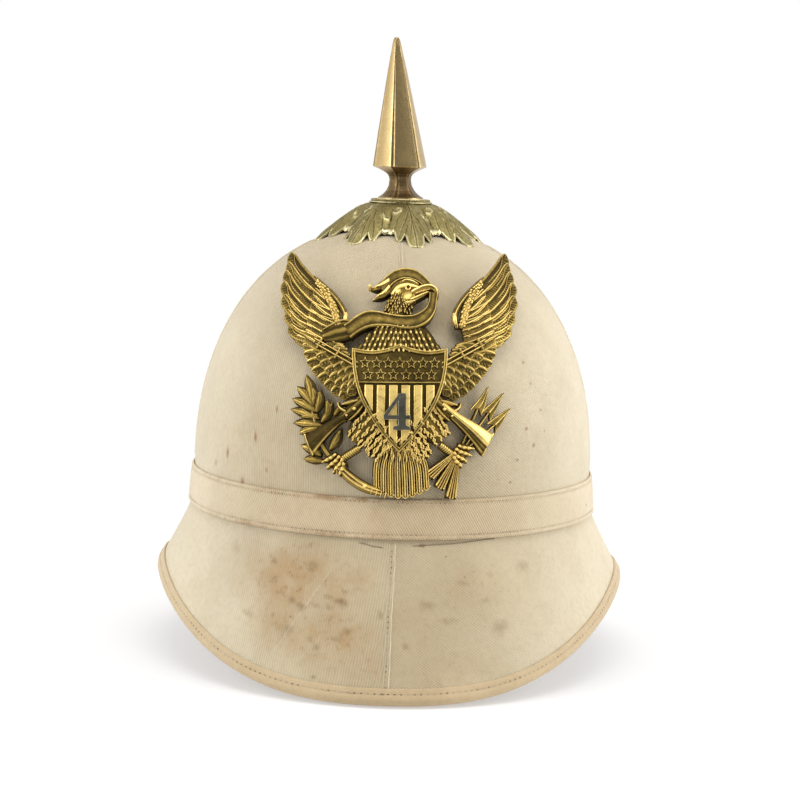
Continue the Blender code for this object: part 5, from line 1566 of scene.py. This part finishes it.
def add_branch(pile):
    pile.blade(((-27.0, -32.0), (-36.0, -22.0), (-40.5, -8.0), (-42.5, 1.0)), (2.6, 2.4, 2.0, 1.2), 1.0, 2.2,
               (0.2, 0.8), 0.6)
    for i, (root, tip, width) in enumerate(OLIVE):
        root, tip = points_of(root, tip)
        run = tip - root
        side = aside(run)
        middle = (root + tip) / 2 + side * 0.5
        q = root * 0.35 + tip * 0.65 + side * 0.4
        level = 1.2 + 0.22 * (i % 3)
        pile.blade((root, middle, q, tip), (1.2, width, width * 0.90, 0.25), level, level + 1.3,
                   (0.10, 0.70), 0.45, power=1.0, peak=0.45)
        for off in (-0.24 * width, 0.24 * width):
            pile.blade((root + run * 0.30 + side * off * 0.4, middle + side * off + run * 0.05,
                        tip - run * 0.16 + side * off * 0.3), (0.30, 0.42, 0.25), level + 0.55, level + 1.25,
                       (0.2, 0.85), 0.7, 5)
    pile.blade(((-28.2, -31.0), (-22.4, -36.2), (-15.4, -40.0), (-7.6, -42.4)), (4.2, 4.4, 4.4, 2.6),
               1.2, 3.2, (0.25, 0.95), across=0.16)
    pile.blade(((-26.4, -31.0), (-20.6, -35.4), (-15.0, -38.8), (-8.2, -41.0)), (1.4, 2.2, 2.4, 1.4),
               2.2, 3.9, (0.35, 1.0), across=0.08)
    pile.dome((-15.4, -39.0), (1.3, 1.0), 2.8, 4.1, 0.8, (0.5, 1.1), rows=5, cols=12)
    for a in points_of(*FOOT_LEAVES):
        pile.blade((a + (0.5, 2.0), a + (0.1, 0.4), a + (-0.5, -1.0)), (1.0, 1.3, 0.5), 2.0, 3.9,
                   (0.3, 1.1), 0.4)


def add_arrows(pile):
    for arrow in ARROWS:
        shaft, neck, wide, tip = points_of(*arrow)
        run = unit(tip - neck)
        side = aside(run)
        pile.blade((shaft, neck + run * 1.5), (1.2, 1.2), 1.2, 2.4, (0.2, 0.85), 0.8, tip=False)
        ridge = (neck + run * 1.2, wide, tip)
        right, left = ((neck + side * sign * 3.2 - run * 1.4, wide + side * sign * 2.0, tip)
                       for sign in (1, -1))
        pile.between(ridge, right, HEAD_RIGHT, 0.5)
        pile.between(left, ridge, HEAD_LEFT, 0.5)
    for feather in ARROW_FEATHERS:
        root, tip = points_of(*feather)
        run = tip - root
        side = aside(run)
        pile.blade((root, (root + tip) / 2, tip), (2.4, 4.8, 5.2), 1.0, 1.8, (0.05, 0.30), 0.8, tip=False)
        for off, wide in BARBS:
            pile.blade((root + side * off * 0.3, tip + side * off * 1.1 - run * 0.03 * abs(off)),
                       (0.7, wide * 1.45), 1.5, 3.1, (0.40, 1.15), 0.7, 7, tip=False)


def add_locks(pile, sign, thigh):
    """The shaggy feathers of a thigh, in rows of eight, by turns from two lines."""
    rng = np.random.default_rng(5 + sign)
    inner = ((sign * 4, -15.5), (sign * 9.0, -20.5), (sign * 13.0, -26.5))
    for k in range(LOCKS):
        row, col = divmod(k, 8)
        s, t = row / 14, col / 7 * 2 - 1
        c = resample(thigh if k % 2 else inner, s)
        spread = (6.8, 5.8)[k % 2 == 0] * (1 - 0.40 * s)
        c = c + np.array([t * spread * 0.76, t * spread * 0.66 * sign]) + rng.normal(0, 0.35, 2)
        way = np.array([sign * (0.50 + 0.25 * t), -0.85]) * (1.9 + rng.random() * 0.9)
        bow = np.array([0.35, 0.20]) * sign * (1 if k % 3 else -1)
        level = 2.9 + 0.9 * (1 - t * t) + rng.random() * 0.35
        pile.blade((c - way * 0.6, c - way * 0.2 + bow, c + way * 0.2 - bow, c + way * 0.6),
                   (0.6, 1.45, 1.35, 0.4), level - 0.9, level + 0.45, (0.28, 1.15), 0.55, 5)


def add_legs(pile):
    """Thighs, scaled shanks and knuckled claws."""
    for sign, (thigh, shank, claw) in LEGS.items():
        pile.blade(thigh, (15.5, 14.0, 8.0), 1.6, 3.5, (0.10, 0.42), 0.8, 11, tip=False)
        pile.blade(((sign * 4.0, -17.0), (sign * 9.0, -20.5), (sign * 12.5, -25.5)), (9.5, 9.0, 5.0),
                   1.4, 3.2, (0.10, 0.38), 0.8, tip=False)
        add_locks(pile, sign, thigh)
        pile.blade(shank, (3.8, 3.8), 1.2, 3.1, (0.20, 0.85), 0.28, wave=0.20, pitch=1.05, tip=False)
        centre, along, over = points_of(*claw)
        for k, (shift, up, long) in enumerate(TOES):
            c = centre + along * shift
            lean = along * (k - 1.4) * 0.55
            toe = (c + over * up * 0.80 - lean, c + over * up * 0.30 + along * 0.4,
                   c - over * long * 0.45 + lean, c - over * long + lean * 2.4)
            pile.blade(toe, (2.6, 3.3, 3.0, 0.8), 1.8, 4.2 + 0.25 * (k % 2), (0.12, 1.0), 0.3, wave=0.03,
                       pitch=2.3, power=1.3)
        pile.dome(centre, (3.4, 3.0), 1.0, 2.9, 0.0, (0.1, 0.5))
    a = np.array(BUNDLE_END)
    for way in points_of(*BUNDLE_LEAVES):
        pile.blade((a, a + way * 0.6, a + way), (1.0, 1.9, 0.5), 1.4, 3.2, (0.3, 1.0), 0.4)


def add_tail(pile):
    for i in range(8):
        share = i / 3.5 - 1
        root = np.array((6.2 * share + 0.4, -20.0))
        tip = np.array((11.7 * share + 1.4, -44.3 + 3.6 * share**2))
        middle = (root + tip) / 2 + np.array((1.9 * share, 1.5))
        level = 1.5 + 0.5 * (1 - abs(share))
        side = aside(tip - root)
        pile.blade((root, middle, tip + (0, 1.2), tip), (2.6, 3.9, 4.0, 1.9), level - 0.7, level + 0.55,
                   (0.04, 0.56), power=2.2, tip=False)
        for off, wide, up in ((-1.0, 0.90, 0.90), (0.0, 1.15, 1.35), (1.0, 0.90, 0.90)):
            pile.blade((root + side * off * 0.5, middle + side * off, tip + side * off * 1.05 + (0, 0.7)),
                       (wide * 0.6, wide, wide * 1.1), level + 0.1, level + up, (0.34, 1.15), 0.7, 7,
                       tip=False)
        pile.blade((tip + side * -1.7 + (0, 1.3), tip + (0, -0.1), tip + side * 1.7 + (0, 1.3)),
                   (0.7, 1.1, 0.7), level - 0.2, level + 1.0, (0.4, 1.1), 0.4, 5)
    for k in range(24):
        row, share = k // 6, k % 6 / 2.5 - 1
        at = np.array((share * 7.4 + row * 0.8 - 0.8, -19.6 - row * 2.3 + abs(share)))
        pile.blade((at + (0, 2.2), at + (0.4, 0.4), at + (0.2 + share * 0.8, -2.6)), (0.8, 1.7, 0.4),
                   2.2, 3.7, (0.12, 1.1), 0.4)


# The rifles' butts and the plates on their ends: left line, right line and profile; the profile's tone paints
# highlights on the edges and shade in the grooves
BUTTS = (
    (((-25.6, -7.0), (-27.4, -7.9), (-32.6, -10.9), (-38.0, -14.1), (-43.2, -17.3)),
     ((-24.2, -10.8), (-26.8, -11.8), (-31.0, -15.7), (-34.7, -19.8), (-39.4, -26.0)),
     ((0, 1.8, 0.45), (0.03, 2.6, 0.80), (0.08, 3.7, 0.16), (0.5, 4.2, 0.10), (0.70, 4.3, 0.20),
      (0.74, 4.0, 0.12), (0.84, 3.5, 0.20), (0.92, 2.9, 0.80), (0.97, 2.6, 0.45), (1, 1.8, 0.1))),
    (((-43.2, -17.1), (-42.2, -19.6), (-40.8, -22.6), (-39.2, -26.2)),
     ((-44.3, -18.1), (-43.2, -20.8), (-42.0, -23.8), (-40.2, -27.2)),
     ((1, 1.6, 0.3), (0.8, 3.4, 0.7), (0.5, 3.6, 0.1), (0.3, 4.2, 0.7), (0, 4.2, 0.9))),
    (((20.6, -2.0), (26.0, -5.8), (31.0, -9.0), (35.8, -11.6), (43.4, -16.4)),
     ((18.6, -4.6), (24.0, -9.6), (29.4, -14.8), (33.4, -19.6), (38.4, -26.0)),
     ((0, 1.8, 0.6), (0.05, 2.8, 0.95), (0.14, 3.8, 0.85), (0.45, 4.3, 0.82), (0.62, 4.3, 0.80),
      (0.66, 3.9, 0.05), (0.76, 3.7, 0.35), (0.84, 3.2, 0.05), (0.93, 3.1, 0.7), (1, 1.8, 0.1))),
    (((43.4, -16.4), (41.0, -20.0), (38.4, -26.0)), ((44.1, -17.4), (41.8, -21.4), (39.2, -26.6)),
     ((0, 4.0, 1.0), (0.6, 3.4, 0.6), (1, 1.6, 0.3))),
)
# The small parts of a lock, drawn for the right: line, widths, edge, ridge and tone
LOCK_PARTS = (
    (((19.0, -1.6), (23.2, -2.6), (27.2, -4.0)), (1.6, 2.8, 0.8), 2.0, 4.3, (0.2, 0.9)),
    (((24.6, -6.6), (27.4, -5.0), (28.2, -2.6)), (2.0, 2.0, 0.7), 2.4, 4.4, (0.3, 0.95)),
    (((17.0, -4.6), (19.6, -7.6), (22.8, -10.4)), (1.2, 1.5, 0.9), 3.0, 4.6, (0.2, 0.95)),
)


def add_rifles(pile):
    """The butts, then the wrist and lock of each rifle."""
    for left, right, profile in BUTTS:
        pile.between(left, right, profile)
    for sign in (-1, 1):
        pile.blade(((sign * 16.6, -1.0), (sign * 22.0, -5.6), (sign * 27.4, -9.6)), (6.0, 5.6, 3.6), 1.8, 3.9,
                   (0.14, 0.50), across=0.20, tip=False)
        for line, widths, edge, ridge, tone in LOCK_PARTS:
            pile.blade(np.array(line) * (sign, 1), widths, edge, ridge, tone, 0.4)
        for c, r in (((20.6, -5.4), 1.25), ((24.0, -8.4), 0.9)):
            pile.dome((sign * c[0], c[1]), (r, r * 0.85), 3.2, 4.7, 0.4, (0.1, 0.95), rows=5, cols=14)


def build_arms():
    pile = Plate()
    for add in (add_branch, add_arrows, add_legs, add_tail, add_rifles):
        add(pile)
    pile.done("arms_and_legs")


# Numeral

NUMERAL = (
    (-2.9, 0.0), (4.9, 0.0), (4.9, 1.5), (3.0, 2.1), (3.0, 4.5), (4.9, 4.5), (4.9, 6.4), (3.0, 6.4),
    (3.0, 15.7), (-0.2, 15.7), (-7.2, 6.4), (-7.2, 4.5), (-0.6, 4.5), (-0.6, 2.1), (-2.9, 1.5),
)
COUNTER = ((-5.0, 6.4), (-0.6, 6.4), (-0.6, 12.4))
NUMERAL_THICK, NUMERAL_EDGE = 0.28, 0.24


def build_numeral():
    """The numeral as a solid with rounded edges, held just clear of the stripes."""
    data = bpy.data.curves.new("numeral_outline", "CURVE")
    data.dimensions, data.fill_mode = "2D", "BOTH"
    for outline in (NUMERAL, COUNTER):
        part = data.splines.new("POLY")
        part.points.add(len(outline) - 1)
        for point, (u, v) in zip(part.points, outline):
            point.co = (u, v, 0.0, 1.0)
        part.use_cyclic_u = True
    data.extrude, data.bevel_depth, data.bevel_resolution = NUMERAL_THICK, NUMERAL_EDGE, 3
    data.offset = -NUMERAL_EDGE
    shape = bpy.data.objects.new("numeral_outline", data)
    bpy.context.scene.collection.objects.link(shape)
    bpy.context.view_layer.update()
    mesh = bpy.data.meshes.new_from_object(shape.evaluated_get(bpy.context.evaluated_depsgraph_get()))
    bpy.data.objects.remove(shape)
    flat = np.array([v.co[:] for v in mesh.vertices])
    deep = np.abs(flat[:, 2])
    # a painted highlight on the rounded bevel, darker on the flat face
    tone = 0.30 + 0.75 * smooth(0.52 - deep, 0.0, 0.12) * smooth(deep, 0.1, 0.3)
    for vertex, place in zip(mesh.vertices, bend(flat + (0, NUMERAL_FOOT, NUMERAL_OUT + 0.53))):
        vertex.co = place
    point_values(mesh, "tone", tone)
    mesh.shade_smooth()
    mesh.set_sharp_from_angle(angle=math.radians(40))
    mesh.materials.clear()
    mesh.materials.append(WHITE_METAL)
    place_piece("numeral_detail", mesh, ["numeral_4"])


build_wings()
build_body()
build_ribbon()
build_shield()
build_arms()
build_numeral()


# Floor, light and camera

FLOOR_REACH, FLOOR_CELLS = 12, 30


def build_stage():
    """A white floor that fades into the white world, away from the helmet."""
    g = Graph("pale_floor")
    where = g.place()
    far = g.span(g.vector("LENGTH", where, out=1), 0.20, 0.60, 0.45, 1.0)
    g.bump(g.mul(g.noise(where, 300.0, 2.0), 0.02 * MM))
    g.finish(Base_Color=(0.93, 0.93, 0.93), Roughness=0.8)
    glow = g.node("ShaderNodeEmission", (1.0, 1.0, 1.0), 1.0)
    blend = g.tree.nodes.new("ShaderNodeMixShader")
    g.put(blend.inputs[0], far)
    g.tree.links.new(g.shader.outputs[0], blend.inputs[1])
    g.tree.links.new(glow, blend.inputs[2])
    g.tree.links.new(blend.outputs[0], g.tree.nodes["Material Output"].inputs[0])
    side = FLOOR_CELLS + 1
    t = np.linspace(-FLOOR_REACH, FLOOR_REACH, side)
    verts = [(x, y, 0.0) for y in t for x in t]
    firsts = [r * side + c for r in range(FLOOR_CELLS) for c in range(FLOOR_CELLS)]
    mesh = bpy.data.meshes.new("floor")
    mesh.from_pydata(verts, [], [(i, i + 1, i + side + 1, i + side) for i in firsts])
    mesh.materials.append(g.material)
    floor = bpy.data.objects.new("floor", mesh)
    bpy.context.scene.collection.objects.link(floor)


def build_world():
    world = bpy.data.worlds.new("studio")
    bpy.context.scene.world = world
    world.use_nodes = True
    tree = world.node_tree
    new, link = tree.nodes.new, tree.links.new
    back = tree.nodes["Background"]
    coord = new("ShaderNodeTexCoord")
    split = new("ShaderNodeSeparateXYZ")
    link(coord.outputs["Generated"], split.inputs[0])
    ramp = new("ShaderNodeMapRange")
    ramp.interpolation_type = "SMOOTHSTEP"
    ramp.inputs[1].default_value, ramp.inputs[2].default_value = -0.75, 0.10
    ramp.inputs[3].default_value, ramp.inputs[4].default_value = 0.22, 1.0
    link(split.outputs[1], ramp.inputs[0])
    link(ramp.outputs[0], back.inputs[1])
    back.inputs[0].default_value = (1.0, 1.0, 1.0, 1.0)


def area(name, place, aim, wide, high, power):
    data = bpy.data.lights.new(name, "AREA")
    data.shape, data.size, data.size_y = "RECTANGLE", wide, high
    data.energy = power
    obj = bpy.data.objects.new(name, data)
    bpy.context.scene.collection.objects.link(obj)
    obj.location = place
    obj.rotation_euler = (Vector(aim) - Vector(place)).to_track_quat("-Z", "Y").to_euler()
    obj.visible_camera = False


def build_camera():
    data = bpy.data.cameras.new("camera")
    data.lens, data.sensor_width = 117.0, 36.0
    camera = bpy.data.objects.new("camera", data)
    bpy.context.scene.collection.objects.link(camera)
    rise = math.radians(6.0)
    target = Vector((0.0, -0.002, 0.1222))
    spot = target + 1.30 * Vector((0.0, -math.cos(rise), math.sin(rise)))
    look = (target - spot).to_track_quat("-Z", "Y").to_matrix().to_4x4()
    shift = look.to_3x3() @ Vector((0.0028, 0.0, 0.0))
    camera.matrix_world = Matrix.Translation(spot + shift) @ look @ Matrix.Rotation(math.radians(1.8), 4, "Z")
    bpy.context.scene.camera = camera


build_stage()
build_world()
area("right_box", (1.3, -0.35, 0.55), (0, 0, 0.10), 1.0, 1.2, 11)
area("left_box", (-1.2, -0.55, 0.65), (0, 0, 0.12), 0.8, 1.0, 8.2)
area("top_box", (0.1, -0.6, 1.3), (0, 0, 0.12), 0.9, 0.7, 6.8)
build_camera()
bpy.context.scene.view_settings.view_transform = "Standard"
